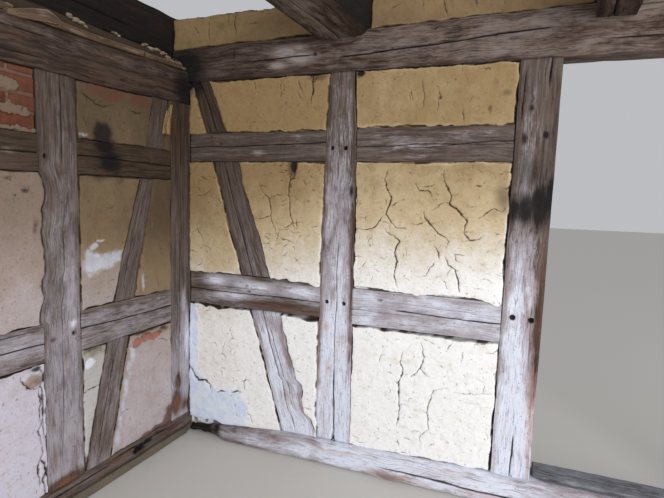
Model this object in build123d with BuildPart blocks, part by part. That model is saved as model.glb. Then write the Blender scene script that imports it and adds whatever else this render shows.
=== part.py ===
from build123d import *
import os

# Corner of a half-timbered house, as seen from inside the room: a cross wall with a doorway
# meets an outer wall at a right angle, and joists lie on the cross wall's girt.
# Millimetres, +Z up. +X runs along the cross wall away from the corner, -Y runs along the
# outer wall into the room, and the origin is the middle of the footprint at ground level.

# Heights that the whole frame shares
girt_bottom = 2185.0
foot_level = 150.0

# Cross wall
cross_depth = 160.0
panel_recess = 10.0
middle_post_foot = 880.0
middle_post_foot_width = 210.0
middle_post_head = 910.0
middle_post_head_width = 147.0
door_post_foot = 1850.0
door_post_head = 1870.0
door_post_width = 190.0
doorway_width = 950.0

# Cross-wall sill, with its corner end rotted down, and the thin board on it in the doorway
cross_sill_rotted_height = 62.0
cross_sill_sound_height = 140.0
cross_sill_door_height = 163.0
rot_reach = 650.0
cross_sill_proud = 30.0
threshold_thickness = 26.0
threshold_setback = 18.0
threshold_width = 138.0

# Rails of the cross wall: the upper ones hang a field's height below the girt
upper_field_height = 300.0
upper_rail_left_height = 170.0
upper_rail_right_height = 180.0
lower_rail_left_bottom = 845.0
lower_rail_left_height = 200.0
lower_rail_right_bottom = 833.0
lower_rail_right_height = 202.0

# Brace of the cross wall: its head leans into the corner, its foot stands by the middle post
brace_head_gap = 16.0
brace_head_width = 122.0
brace_foot_gap = 12.0
brace_foot_width = 212.0

# Girt of the cross wall, let down over the outer wall's plates, and the clay band on it
girt_height_corner = 200.0
girt_height_far = 238.0
girt_letdown = 50.0
band_height = 162.0
band_depth = 120.0
band_recess = 25.0

# Joists, which are let down into the girt
joist_reach_front = 650.0
joist_reach_back = 250.0
mid_joist_place = 850.0
mid_joist_width = 280.0
mid_joist_letdown = 40.0
mid_joist_wane_width = 110.0
mid_joist_wane_height = 60.0
right_joist_place = 2170.0
right_joist_width = 165.0
right_joist_letdown = 72.0

# Outer wall
side_depth = 200.0
plinth_height = 50.0
plinth_proud = 14.0
side_sill_height = 90.0
corner_post_width = 170.0
near_bay = 645.0
side_post_width = 205.0
outer_bay = 630.0
side_end_post_width = 200.0
side_upper_field_height = 265.0
side_upper_rail_height = 165.0
side_lower_rail_bottom = 755.0
side_lower_rail_height = 200.0
outer_lower_rail_height = 178.0
side_brace_head_gap = 75.0
side_brace_head_width = 92.0
side_brace_foot_gap = 8.0
side_brace_foot_width = 156.0

# Plates of the outer wall, the bed on them and the joist along the wall
lower_plate_height = 110.0
upper_plate_height = 95.0
upper_plate_setback = 12.0
bed_thickness = 20.0
bed_setback = 18.0
side_joist_setback = 133.0
side_joist_width = 120.0

# Mortise and tenon joints, and the holes for their pegs
tenon_thickness = 42.0
tenon_length = 55.0
tenon_shoulder = 18.0
tenon_end_gap = 8.0
peg_hole_radius = 11.0
peg_edge_distance = 45.0
peg_hole_end_cover = 28.0

# Worked-out heights
side_sill_top = plinth_height + side_sill_height
plate_top = girt_bottom + girt_letdown
lower_plate_top = plate_top - upper_plate_height
plate_bottom = lower_plate_top - lower_plate_height
girt_top_corner = girt_bottom + girt_height_corner
girt_top_far = girt_bottom + girt_height_far
ceiling_height = max(girt_top_corner, girt_top_far) + band_height
upper_rail_left_top = girt_bottom - upper_field_height
upper_rail_bottom = upper_rail_left_top - upper_rail_left_height
upper_rail_right_top = upper_rail_bottom + upper_rail_right_height
lower_rail_left_top = lower_rail_left_bottom + lower_rail_left_height
lower_rail_right_top = lower_rail_right_bottom + lower_rail_right_height
side_upper_rail_top = plate_bottom - side_upper_field_height
side_upper_rail_bottom = side_upper_rail_top - side_upper_rail_height
side_lower_rail_top = side_lower_rail_bottom + side_lower_rail_height
outer_lower_rail_top = side_lower_rail_bottom + outer_lower_rail_height

# Worked-out places along the walls
side_post_near = -(corner_post_width + near_bay)
side_post_far = side_post_near - side_post_width
side_end_near = side_post_far - outer_bay
side_end_far = side_end_near - side_end_post_width
far_post_place = door_post_head + door_post_width + doorway_width
wall_end = far_post_place + door_post_width
joist_back = cross_depth + joist_reach_back
outer_edge = -(side_joist_setback + side_joist_width)
corner_x = -(wall_end + min(outer_edge, -side_depth)) / 2
corner_y = -(side_end_far + joist_back) / 2

# Elevations: local x runs along the wall, local y is height, and the plane is the wall's face
# towards the room. Depths are counted from that face into the wall.
cross_face = Plane(origin=(corner_x, corner_y, 0), x_dir=(1, 0, 0), z_dir=(0, -1, 0))
side_face = Plane(origin=(corner_x, corner_y, 0), x_dir=(0, 1, 0), z_dir=(1, 0, 0))


def drawn(plane, points):
    """A closed straight-sided outline on a plane, as a face."""
    with BuildSketch(plane) as sketch:
        with BuildLine():
            Polyline(*points, close=True)
        make_face()
    return sketch.sketch


def layer(face, points, front, back, mode=Mode.ADD):
    """Solid of an outline between two depths behind a wall's face; it joins the open part."""
    extrude(drawn(face.offset(-front), points), amount=front - back, mode=mode)


def middle_layer(face, points, depth, mode=Mode.ADD):
    """The same, in the middle of the wall's depth only, where the tenons are."""
    front = (depth - tenon_thickness) / 2
    layer(face, points, front, front + tenon_thickness, mode)


def peg_holes(face, places, depth):
    """Round holes for pegs, through the tenon and on towards the back of the wall."""
    with BuildSketch(face) as holes:
        with Locations(*places):
            Circle(peg_hole_radius)
    extrude(holes.sketch, amount=peg_hole_end_cover - depth, mode=Mode.SUBTRACT)


def box_outline(left, right, bottom, top):
    """The four corners of an upright rectangle in a wall's elevation."""
    return [(left, bottom), (right, bottom), (right, top), (left, top)]


def across(edge, height):
    """Place along the wall, at one height, of a leaning edge given by two points."""
    (foot, low), (head, high) = edge
    return foot + (head - foot) * (height - low) / (high - low)


def leaning(left_edge, right_edge, bottom, top):
    """Outline of a timber or a bay between two leaning edges, cut level at both ends."""
    return [
        (across(left_edge, bottom), bottom),
        (across(right_edge, bottom), bottom),
        (across(right_edge, top), top),
        (across(left_edge, top), top),
    ]


def shifted(edge, distance):
    """A leaning edge moved along the wall."""
    (foot, low), (head, high) = edge
    return ((foot + distance, low), (head + distance, high))


def halfway(left_edge, right_edge):
    """The middle line of a timber between its two edges."""
    (left_foot, low), (left_head, high) = left_edge
    (right_foot, _), (right_head, _) = right_edge
    return (((left_foot + right_foot) / 2, low), ((left_head + right_head) / 2, high))


def long_tenons(left_edge, right_edge, bottom, top):
    """Outline of an upright timber's middle layer, with a tenon past its foot and its head."""
    return leaning(
        shifted(left_edge, tenon_shoulder),
        shifted(right_edge, -tenon_shoulder),
        bottom - tenon_length,
        top + tenon_length,
    )


def rail_tenons(left_middle, right_middle, bottom, top):
    """Outline of a rail's middle layer, which runs nearly to the middles of its two posts."""
    return leaning(
        shifted(left_middle, tenon_end_gap / 2),
        shifted(right_middle, -tenon_end_gap / 2),
        bottom + tenon_shoulder,
        top - tenon_shoulder,
    )


def write(piece, name):
    """Label a finished piece and write it as a STEP file."""
    piece.part.label = name
    export_step(piece.part, f"parts/{name}.step")


os.makedirs("parts", exist_ok=True)


def cross_edge(foot, head):
    """A leaning edge in the cross wall, from the foot level up to the girt."""
    return ((foot, foot_level), (head, girt_bottom))


# Leaning edges of the cross wall
corner_line = cross_edge(0.0, 0.0)
corner_middle = cross_edge(-side_depth / 2, -side_depth / 2)
middle_left = cross_edge(middle_post_foot, middle_post_head)
middle_right = cross_edge(
    middle_post_foot + middle_post_foot_width, middle_post_head + middle_post_head_width
)
middle_middle = halfway(middle_left, middle_right)
door_left = cross_edge(door_post_foot, door_post_head)
door_right = shifted(door_left, door_post_width)
door_middle = halfway(door_left, door_right)
far_left = cross_edge(far_post_place, far_post_place)
far_right = shifted(far_left, door_post_width)
brace_foot_right = middle_post_foot - brace_foot_gap
brace_left = cross_edge(brace_foot_right - brace_foot_width, brace_head_gap)
brace_right = cross_edge(brace_foot_right, brace_head_gap + brace_head_width)

# Outlines in the cross wall
cross_sill_outline = [
    (0.0, 0.0),
    (wall_end, 0.0),
    (wall_end, cross_sill_door_height),
    (door_post_foot, cross_sill_door_height),
    (rot_reach, cross_sill_sound_height),
    (0.0, cross_sill_rotted_height),
]
brace_outline = leaning(brace_left, brace_right, 0.0, girt_bottom)
upper_rail_left_outline = leaning(
    corner_line, middle_left, upper_rail_bottom, upper_rail_left_top
)
upper_rail_right_outline = leaning(
    middle_right, door_left, upper_rail_bottom, upper_rail_right_top
)
lower_rail_left_outline = leaning(
    corner_line, middle_left, lower_rail_left_bottom, lower_rail_left_top
)
lower_rail_right_outline = leaning(
    middle_right, door_left, lower_rail_right_bottom, lower_rail_right_top
)
girt_outline = [
    (0.0, girt_bottom),
    (wall_end, girt_bottom),
    (wall_end, girt_top_far),
    (-side_joist_setback, girt_top_corner),
    (-side_joist_setback, plate_top),
    (0.0, plate_top),
]

# Tenons in the cross wall; the feet start from the sill's lowest sound height
upright_tenons = [
    long_tenons(left_edge, right_edge, cross_sill_sound_height, girt_bottom)
    for left_edge, right_edge in (
        (middle_left, middle_right),
        (door_left, door_right),
        (far_left, far_right),
        (brace_left, brace_right),
    )
]
left_rail_tenons = [
    rail_tenons(corner_middle, middle_middle, bottom, top)
    for bottom, top in (
        (upper_rail_bottom, upper_rail_left_top),
        (lower_rail_left_bottom, lower_rail_left_top),
    )
]
right_rail_tenons = [
    rail_tenons(middle_middle, door_middle, bottom, top)
    for bottom, top in (
        (upper_rail_bottom, upper_rail_right_top),
        (lower_rail_right_bottom, lower_rail_right_top),
    )
]

# Pegs go through the middle of each rail's tenon
upper_pegs = (upper_rail_bottom + upper_rail_left_top) / 2
lower_pegs = (lower_rail_left_bottom + lower_rail_left_top) / 2
middle_left_pegs = [
    (across(middle_left, height) + peg_edge_distance, height)
    for height in (lower_pegs, upper_pegs)
]
middle_right_pegs = [
    (across(middle_right, height) - peg_edge_distance, height)
    for height in (lower_pegs, upper_pegs)
]
door_post_pegs = [
    (across(door_left, height) + peg_edge_distance, height)
    for height in (lower_pegs, upper_pegs)
]

# Sill of the cross wall, which stands a little proud of the posts and runs under the doorway
with BuildPart() as cross_wall_sill:
    layer(cross_face, cross_sill_outline, -cross_sill_proud, cross_depth)
    for tenons in upright_tenons:
        middle_layer(cross_face, tenons, cross_depth, Mode.SUBTRACT)
write(cross_wall_sill, "cross_wall_sill")

# Thin worn board on the sill between the two door posts
threshold_outline = leaning(
    door_right,
    far_left,
    cross_sill_door_height,
    cross_sill_door_height + threshold_thickness,
)
with BuildPart() as threshold_board:
    layer(
        cross_face,
        threshold_outline,
        threshold_setback,
        threshold_setback + threshold_width,
    )
write(threshold_board, "threshold_board")


def cross_post(left_edge, right_edge, rail_outlines, pegs):
    """A post of the cross wall: cut on the sill, tenoned at both ends, mortised for rails."""
    with BuildPart() as piece:
        layer(cross_face, leaning(left_edge, right_edge, 0.0, girt_bottom), 0.0, cross_depth)
        layer(cross_face, cross_sill_outline, 0.0, cross_depth, Mode.SUBTRACT)
        middle_layer(
            cross_face,
            long_tenons(left_edge, right_edge, cross_sill_sound_height, girt_bottom),
            cross_depth,
        )
        for rail_outline in rail_outlines:
            middle_layer(cross_face, rail_outline, cross_depth, Mode.SUBTRACT)
        if pegs:
            peg_holes(cross_face, pegs, cross_depth)
    return piece


middle_post = cross_post(
    middle_left,
    middle_right,
    left_rail_tenons + right_rail_tenons,
    middle_left_pegs + middle_right_pegs,
)
write(middle_post, "middle_post")

door_post = cross_post(door_left, door_right, right_rail_tenons, door_post_pegs)
write(door_post, "door_post")

# Far side of the doorway, beyond the photograph's edge: an upright post like the door post
far_door_post = cross_post(far_left, far_right, [], [])
write(far_door_post, "far_door_post")

# Brace of the cross wall: one timber, halved where the rails lap over its front
with BuildPart() as cross_wall_brace:
    layer(cross_face, brace_outline, 0.0, cross_depth)
    layer(cross_face, cross_sill_outline, 0.0, cross_depth, Mode.SUBTRACT)
    middle_layer(
        cross_face,
        long_tenons(brace_left, brace_right, cross_sill_sound_height, girt_bottom),
        cross_depth,
    )
    for rail_outline in (upper_rail_left_outline, lower_rail_left_outline):
        layer(cross_face, rail_outline, 0.0, cross_depth / 2, Mode.SUBTRACT)
write(cross_wall_brace, "cross_wall_brace")


def halved_rail(face, depth, rail_outline, tenons, brace):
    """A tenoned rail whose back half is cut out where a brace passes behind it."""
    with BuildPart() as piece:
        layer(face, rail_outline, 0.0, depth)
        middle_layer(face, tenons, depth)
        layer(face, brace, depth / 2, depth, Mode.SUBTRACT)
    return piece


for rail_name, rail_outline, tenons, peg_place in (
    ("lower_rail_left", lower_rail_left_outline, left_rail_tenons[1], middle_left_pegs[0]),
    ("upper_rail_left", upper_rail_left_outline, left_rail_tenons[0], middle_left_pegs[1]),
):
    with BuildPart() as left_rail:
        add(halved_rail(cross_face, cross_depth, rail_outline, tenons, brace_outline).part)
        peg_holes(cross_face, [peg_place], cross_depth)
    write(left_rail, rail_name)

for rail_name, rail_outline, tenons, peg_places in (
    (
        "lower_rail_right",
        lower_rail_right_outline,
        right_rail_tenons[1],
        [middle_right_pegs[0], door_post_pegs[0]],
    ),
    (
        "upper_rail_right",
        upper_rail_right_outline,
        right_rail_tenons[0],
        [middle_right_pegs[1], door_post_pegs[1]],
    ),
):
    with BuildPart() as right_rail:
        layer(cross_face, rail_outline, 0.0, cross_depth)
        middle_layer(cross_face, tenons, cross_depth)
        peg_holes(cross_face, peg_places, cross_depth)
    write(right_rail, rail_name)


def girt_top(place):
    """Height of the girt's sloping top at a place along the wall."""
    share = (place + side_joist_setback) / (wall_end + side_joist_setback)
    return girt_top_corner + (girt_top_far - girt_top_corner) * share


# Joist sections; the middle one has a wane along its lower right edge
mid_joist_bottom = girt_top(mid_joist_place + mid_joist_width / 2) - mid_joist_letdown
right_joist_bottom = girt_top(right_joist_place + right_joist_width / 2) - right_joist_letdown
mid_joist_outline = [
    (mid_joist_place, mid_joist_bottom),
    (mid_joist_place + mid_joist_width - mid_joist_wane_width, mid_joist_bottom),
    (mid_joist_place + mid_joist_width, mid_joist_bottom + mid_joist_wane_height),
    (mid_joist_place + mid_joist_width, ceiling_height),
    (mid_joist_place, ceiling_height),
]
right_joist_outline = box_outline(
    right_joist_place,
    right_joist_place + right_joist_width,
    right_joist_bottom,
    ceiling_height,
)

# Girt: lies over the posts, is let down over the outer wall's plates and carries the joists
with BuildPart() as girt:
    layer(cross_face, girt_outline, 0.0, cross_depth)
    for joist_outline in (mid_joist_outline, right_joist_outline):
        layer(cross_face, joist_outline, 0.0, cross_depth, Mode.SUBTRACT)
    for tenons in upright_tenons:
        middle_layer(cross_face, tenons, cross_depth, Mode.SUBTRACT)
write(girt, "girt")

# Joists, cut off in front of the cross wall and behind it
for joist_name, joist_outline in (
    ("mid_joist", mid_joist_outline),
    ("right_joist", right_joist_outline),
):
    with BuildPart() as joist:
        layer(cross_face, joist_outline, -joist_reach_front, joist_back)
    write(joist, joist_name)


def infill(face, depth, bay_outline, cutters):
    """Clay in a bay, a little behind both faces of the wall, cut back to its timbers."""
    with BuildPart() as piece:
        layer(face, bay_outline, panel_recess, depth - panel_recess)
        for cutter in cutters:
            layer(face, cutter, panel_recess, depth - panel_recess, Mode.SUBTRACT)
    return piece


def write_panels(bay, direction, names):
    """Write each solid of a divided bay, in order along the wall, under its own name."""
    for solid, name in zip(bay.part.solids().sort_by(direction), names):
        with BuildPart() as piece:
            add(solid)
        write(piece, name)


# Clay panels of the cross wall's left bay, each divided by the brace
for bay_bottom, bay_top, cutters, panel_names in (
    (
        upper_rail_left_top,
        girt_bottom,
        [brace_outline],
        ["upper_corner_panel", "upper_left_panel"],
    ),
    (
        lower_rail_left_top,
        upper_rail_bottom,
        [brace_outline],
        ["middle_corner_panel", "middle_left_panel"],
    ),
    (
        0.0,
        lower_rail_left_bottom,
        [brace_outline, cross_sill_outline],
        ["lower_corner_panel", "lower_left_panel"],
    ),
):
    left_bay_outline = leaning(corner_line, middle_left, bay_bottom, bay_top)
    left_bay = infill(cross_face, cross_depth, left_bay_outline, cutters)
    write_panels(left_bay, Axis.X, panel_names)

# Clay panels of the cross wall's right bay
for panel_name, bay_bottom, bay_top, cutters in (
    ("upper_right_panel", upper_rail_right_top, girt_bottom, []),
    ("middle_right_panel", lower_rail_right_top, upper_rail_bottom, []),
    ("lower_right_panel", 0.0, lower_rail_right_bottom, [cross_sill_outline]),
):
    right_bay_outline = leaning(middle_right, door_left, bay_bottom, bay_top)
    write(infill(cross_face, cross_depth, right_bay_outline, cutters), panel_name)

# Clay band over the girt, between the joists, up to the ceiling
for panel_name, band_left, band_right in (
    ("band_left_panel", -side_joist_setback, mid_joist_place),
    ("band_middle_panel", mid_joist_place + mid_joist_width, right_joist_place),
    ("band_right_panel", right_joist_place + right_joist_width, wall_end),
):
    band_outline = box_outline(
        band_left, band_right, min(girt_top_corner, girt_top_far), ceiling_height
    )
    with BuildPart() as band_panel:
        layer(cross_face, band_outline, band_recess, band_recess + band_depth)
        layer(cross_face, girt_outline, band_recess, band_recess + band_depth, Mode.SUBTRACT)
    write(band_panel, panel_name)

# Low footing of stone and mortar under the outer wall's sill
with BuildPart() as side_plinth:
    layer(
        side_face,
        box_outline(side_end_far, -cross_sill_proud, 0.0, plinth_height),
        -plinth_proud,
        side_depth,
    )
    layer(
        side_face,
        box_outline(side_end_far, cross_depth, 0.0, plinth_height),
        0.0,
        side_depth,
    )
write(side_plinth, "side_plinth")

# Upright timbers of the outer wall; the hidden end post stands behind the cross wall's face
side_brace_head_near = -(corner_post_width + side_brace_head_gap)
side_brace_foot_far = side_post_near + side_brace_foot_gap


def side_edge(foot, head):
    """A leaning edge in the outer wall, from its sill up to its lower plate."""
    return ((foot, side_sill_top), (head, plate_bottom))


side_brace_edges = (
    side_edge(side_brace_foot_far, side_brace_head_near - side_brace_head_width),
    side_edge(side_brace_foot_far + side_brace_foot_width, side_brace_head_near),
)
end_post_edges = (side_edge(0.0, 0.0), side_edge(cross_depth, cross_depth))
corner_post_edges = (
    side_edge(-corner_post_width, -corner_post_width),
    side_edge(0.0, 0.0),
)
side_post_edges = (
    side_edge(side_post_far, side_post_far),
    side_edge(side_post_near, side_post_near),
)
side_end_edges = (
    side_edge(side_end_far, side_end_far),
    side_edge(side_end_near, side_end_near),
)
side_upright_tenons = [
    long_tenons(*edges, side_sill_top, plate_bottom)
    for edges in (
        end_post_edges,
        corner_post_edges,
        side_post_edges,
        side_end_edges,
        side_brace_edges,
    )
]

# Rails of the outer wall, with the tenons that they have in its posts
corner_post_middle = halfway(*corner_post_edges)
side_post_middle = halfway(*side_post_edges)
side_end_middle = halfway(*side_end_edges)
near_rails = {
    "near_upper_rail": (side_upper_rail_bottom, side_upper_rail_top),
    "near_lower_rail": (side_lower_rail_bottom, side_lower_rail_top),
}
outer_rails = {
    "outer_upper_rail": (side_upper_rail_bottom, side_upper_rail_top),
    "outer_lower_rail": (side_lower_rail_bottom, outer_lower_rail_top),
}
near_tenons = {
    name: rail_tenons(side_post_middle, corner_post_middle, bottom, top)
    for name, (bottom, top) in near_rails.items()
}
outer_tenons = {
    name: rail_tenons(side_end_middle, side_post_middle, bottom, top)
    for name, (bottom, top) in outer_rails.items()
}

# Sill of the outer wall, on the footing, which runs on past the cross wall's end
with BuildPart() as side_wall_sill:
    layer(
        side_face,
        box_outline(side_end_far, cross_depth, plinth_height, side_sill_top),
        0.0,
        side_depth,
    )
    for tenons in side_upright_tenons:
        middle_layer(side_face, tenons, side_depth, Mode.SUBTRACT)
write(side_wall_sill, "side_wall_sill")

for post_name, post_edges, mortises in (
    ("corner_post", corner_post_edges, list(near_tenons.values())),
    ("side_post", side_post_edges, [*near_tenons.values(), *outer_tenons.values()]),
    ("side_end_post", side_end_edges, list(outer_tenons.values())),
):
    with BuildPart() as side_upright:
        layer(side_face, leaning(*post_edges, side_sill_top, plate_bottom), 0.0, side_depth)
        middle_layer(
            side_face, long_tenons(*post_edges, side_sill_top, plate_bottom), side_depth
        )
        for mortise in mortises:
            middle_layer(side_face, mortise, side_depth, Mode.SUBTRACT)
    write(side_upright, post_name)

# The hidden post takes the tenons of the cross wall's left rails
with BuildPart() as cross_wall_end_post:
    layer(side_face, leaning(*end_post_edges, side_sill_top, plate_bottom), 0.0, side_depth)
    middle_layer(
        side_face, long_tenons(*end_post_edges, side_sill_top, plate_bottom), side_depth
    )
    for mortise in left_rail_tenons:
        middle_layer(cross_face, mortise, cross_depth, Mode.SUBTRACT)
write(cross_wall_end_post, "cross_wall_end_post")

# Brace of the outer wall, from beside the corner post's head to the side post's foot
side_brace_outline = leaning(*side_brace_edges, side_sill_top, plate_bottom)
near_rail_outlines = {
    name: box_outline(side_post_near, -corner_post_width, bottom, top)
    for name, (bottom, top) in near_rails.items()
}
with BuildPart() as side_wall_brace:
    layer(side_face, side_brace_outline, 0.0, side_depth)
    middle_layer(
        side_face, long_tenons(*side_brace_edges, side_sill_top, plate_bottom), side_depth
    )
    for rail_outline in near_rail_outlines.values():
        layer(side_face, rail_outline, 0.0, side_depth / 2, Mode.SUBTRACT)
write(side_wall_brace, "side_wall_brace")

# Rails: halved over the brace in the near bay, plain in the outer bay
for rail_name, rail_outline in near_rail_outlines.items():
    near_rail = halved_rail(
        side_face, side_depth, rail_outline, near_tenons[rail_name], side_brace_outline
    )
    write(near_rail, rail_name)

for rail_name, (rail_bottom, rail_top) in outer_rails.items():
    with BuildPart() as outer_rail:
        layer(
            side_face,
            box_outline(side_end_near, side_post_far, rail_bottom, rail_top),
            0.0,
            side_depth,
        )
        middle_layer(side_face, outer_tenons[rail_name], side_depth)
    write(outer_rail, rail_name)

# Two plates on the posts of the outer wall
with BuildPart() as lower_plate:
    layer(
        side_face,
        box_outline(side_end_far, cross_depth, plate_bottom, lower_plate_top),
        0.0,
        side_depth,
    )
    for tenons in side_upright_tenons:
        middle_layer(side_face, tenons, side_depth, Mode.SUBTRACT)
write(lower_plate, "lower_plate")

with BuildPart() as upper_plate:
    layer(
        side_face,
        box_outline(side_end_far, cross_depth, lower_plate_top, plate_top),
        upper_plate_setback,
        side_depth,
    )
write(upper_plate, "upper_plate")

# Bed of clay and laths on the upper plate, and the joist that lies on it along the wall
side_joist_bottom = plate_top + bed_thickness
with BuildPart() as plate_bed:
    layer(
        side_face,
        box_outline(side_end_far, 0.0, plate_top, side_joist_bottom),
        bed_setback,
        side_depth,
    )
write(plate_bed, "plate_bed")

with BuildPart() as side_joist:
    layer(
        side_face,
        box_outline(side_end_far, joist_back, side_joist_bottom, ceiling_height),
        side_joist_setback,
        side_joist_setback + side_joist_width,
    )
write(side_joist, "side_joist")

# Panels of the near bay, each divided by the brace: the first lies by the side post
for bay_bottom, bay_top, panel_names in (
    (side_sill_top, side_lower_rail_bottom, ["near_lower_panel", "near_lower_corner_panel"]),
    (
        side_lower_rail_top,
        side_upper_rail_bottom,
        ["near_middle_panel", "near_middle_corner_panel"],
    ),
    (side_upper_rail_top, plate_bottom, ["near_upper_panel", "near_upper_corner_panel"]),
):
    near_bay_outline = box_outline(side_post_near, -corner_post_width, bay_bottom, bay_top)
    near_panels = infill(side_face, side_depth, near_bay_outline, [side_brace_outline])
    write_panels(near_panels, Axis.Y, panel_names)

# Panels of the outer bay: the top one is bare brick
for panel_name, bay_bottom, bay_top in (
    ("outer_lower_panel", side_sill_top, side_lower_rail_bottom),
    ("outer_middle_panel", outer_lower_rail_top, side_upper_rail_bottom),
    ("outer_brick_panel", side_upper_rail_top, plate_bottom),
):
    outer_bay_outline = box_outline(side_end_near, side_post_far, bay_bottom, bay_top)
    write(infill(side_face, side_depth, outer_bay_outline, []), panel_name)
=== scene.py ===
import math

import bpy
import numpy as np
from mathutils import Matrix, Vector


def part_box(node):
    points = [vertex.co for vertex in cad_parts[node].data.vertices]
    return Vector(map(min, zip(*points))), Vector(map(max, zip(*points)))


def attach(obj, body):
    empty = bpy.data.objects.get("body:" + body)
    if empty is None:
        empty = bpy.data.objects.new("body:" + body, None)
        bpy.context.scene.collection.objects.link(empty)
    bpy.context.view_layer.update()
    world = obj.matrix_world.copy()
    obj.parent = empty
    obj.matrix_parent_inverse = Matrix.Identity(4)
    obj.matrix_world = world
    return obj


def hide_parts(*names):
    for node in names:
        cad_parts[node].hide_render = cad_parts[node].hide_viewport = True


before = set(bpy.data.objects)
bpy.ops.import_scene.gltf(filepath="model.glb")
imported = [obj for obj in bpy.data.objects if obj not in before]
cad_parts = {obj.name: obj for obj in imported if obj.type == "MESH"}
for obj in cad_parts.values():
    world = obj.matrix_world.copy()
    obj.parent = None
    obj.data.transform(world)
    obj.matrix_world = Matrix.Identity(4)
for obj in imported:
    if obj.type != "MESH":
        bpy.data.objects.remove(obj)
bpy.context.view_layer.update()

# Cross wall's sill: one heavy oak beam on the floor, hewn square and a little proud of the posts. Its end in
# the corner has rotted down and broken. It carries the posts and the brace on tenons and runs on under the
# doorway.
corner = np.array([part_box("corner_post")[1].x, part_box("middle_post")[0].y, 0.0])


class Wall:
    """A wall's face: a place is so far along it from the corner, so high, and so far behind it. Its shade
    says how dark its upper timbers are painted at each place along it, more towards the room's corner:
    partly the room's old smoke and partly painted shade."""

    def __init__(self, along, inward, shade):
        self.along = np.array(along, float)
        self.inward = np.array(inward, float)
        self.shade = shade

    def at(self, along, height, depth):
        """Points for arrays of the three distances."""
        along, height, depth = (v[..., None] for v in np.broadcast_arrays(along, height, depth))
        return corner + along * self.along + depth * self.inward + height * np.array((0.0, 0.0, 1.0))

    def upright(self, across, depth, length):
        """Place of a point of a standing timber."""
        return self.at(across, length, depth)

    def lying(self, across, depth, length):
        """Place of a point of a timber that lies along the wall."""
        return self.at(length, across, depth)

    def through(self, across, depth, length):
        """Place of a point of a joist, which passes through the wall with its underside as its front."""
        return self.at(across, depth, length)


cross_wall = Wall((1, 0, 0), (0, 1, 0), lambda along: np.interp(along, [0.1, 1.2], [1.0, 0.45]))
outer_wall = Wall((0, 1, 0), (-1, 0, 0), lambda along: np.interp(along, [-1.5, -0.4], [0.75, 1.1]))


def line(*points):
    """A height or a place as a function of another, by straight runs between points."""
    xs, ys = zip(*points)
    return lambda x: np.interp(x, xs, ys)


def level(edge, x):
    """Value at x of an edge that is a number or a line."""
    return edge(x) if callable(edge) else np.full(np.shape(x), float(edge))


def smooth(t):
    """Smooth step: 3t² - 2t³ between 0 and 1."""
    t = np.clip(t, 0.0, 1.0)
    return t * t * (3.0 - 2.0 * t)


def uneven(x, y, wide, long, seed):
    """Value noise from -0.5 to 0.5: random values on a lattice of that cell, joined by smooth steps."""
    across, down = 67, 61
    table = np.random.default_rng(seed).random((across, down))
    x, y = np.broadcast_arrays(np.asarray(x) / wide, np.asarray(y) / long)
    column, row = np.floor(x).astype(int), np.floor(y).astype(int)
    fx, fy = smooth(x - column), smooth(y - row)

    def value(right, up):
        return table[(column + right) % across, (row + up) % down]

    low = value(0, 0) * (1 - fx) + value(1, 0) * fx
    high = value(0, 1) * (1 - fx) + value(1, 1) * fx
    return low * (1 - fy) + high * fy - 0.5


def layered(x, y, seed, *layers):
    """Sum of value noises, each given by its strength, its cell and its own number."""
    return sum(
        strength * uneven(x, y, wide, long, seed + number) for strength, wide, long, number in layers
    )


def dabs(along, height, spots):
    """Strongest of several soft spots, each strength times exp(-(da/ra)² - (dh/rh)²) of its distances."""
    shade = np.zeros(np.shape(along))
    for spot_along, spot_height, reach_along, reach_height, strength in spots:
        far = ((along - spot_along) / reach_along) ** 2 + ((height - spot_height) / reach_height) ** 2
        shade = np.maximum(shade, strength * np.exp(-far))
    return shade


def section_columns(runs, arc):
    """Columns round a timber's section from its low front arris: front, high side, back and low side.
    A column is a share of the four corners plus, for each corner, an offset times that corner's radius,
    so that the arrises are quarter circles whose radii may change along the timber."""
    outward = np.array([(0, -1), (1, 0), (0, 1), (-1, 0)], float)
    inward = np.array([(1, 1), (-1, 1), (-1, -1), (1, -1)], float)
    unit = np.eye(4)
    share, offset, normal, side = [], [], [], []
    for k in range(4):
        following = (k + 1) % 4
        here = np.outer(unit[k], inward[k] + outward[k])
        there = np.outer(unit[following], inward[following] + outward[k])
        for angle in np.linspace(0.0, math.pi / 2, arc):
            turned = math.cos(angle) * outward[k - 1] + math.sin(angle) * outward[k]
            share.append(unit[k])
            offset.append(np.outer(unit[k], inward[k] + turned))
            normal.append(turned)
            side.append(-1)
        for part in np.arange(1, runs[k] + 1) / (runs[k] + 1):
            share.append((1 - part) * unit[k] + part * unit[following])
            offset.append((1 - part) * here + part * there)
            normal.append(outward[k])
            side.append(k)
    return np.array(share), np.array(offset), np.array(normal), np.array(side)


def cells(index):
    """Quads between the rows and columns of a grid of point numbers."""
    return np.stack([index[:-1, :-1], index[:-1, 1:], index[1:, 1:], index[1:, :-1]], -1).reshape(-1, 4)


def cap(ring, centre):
    """Triangles from a closed ring of point numbers to a point in its middle."""
    return np.stack([np.roll(ring, -1), ring, np.full(len(ring), centre)], -1)


def tube(index):
    """Quads of a grid of point numbers whose last column joins its first."""
    return cells(np.concatenate([index, index[:, :1]], 1))


def end_caps(rings, count):
    """Triangles over a grid's first and last rows, to the two middle points that follow its count points."""
    return np.concatenate([cap(rings[0], count), cap(rings[-1, ::-1], count + 1)])


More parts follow.
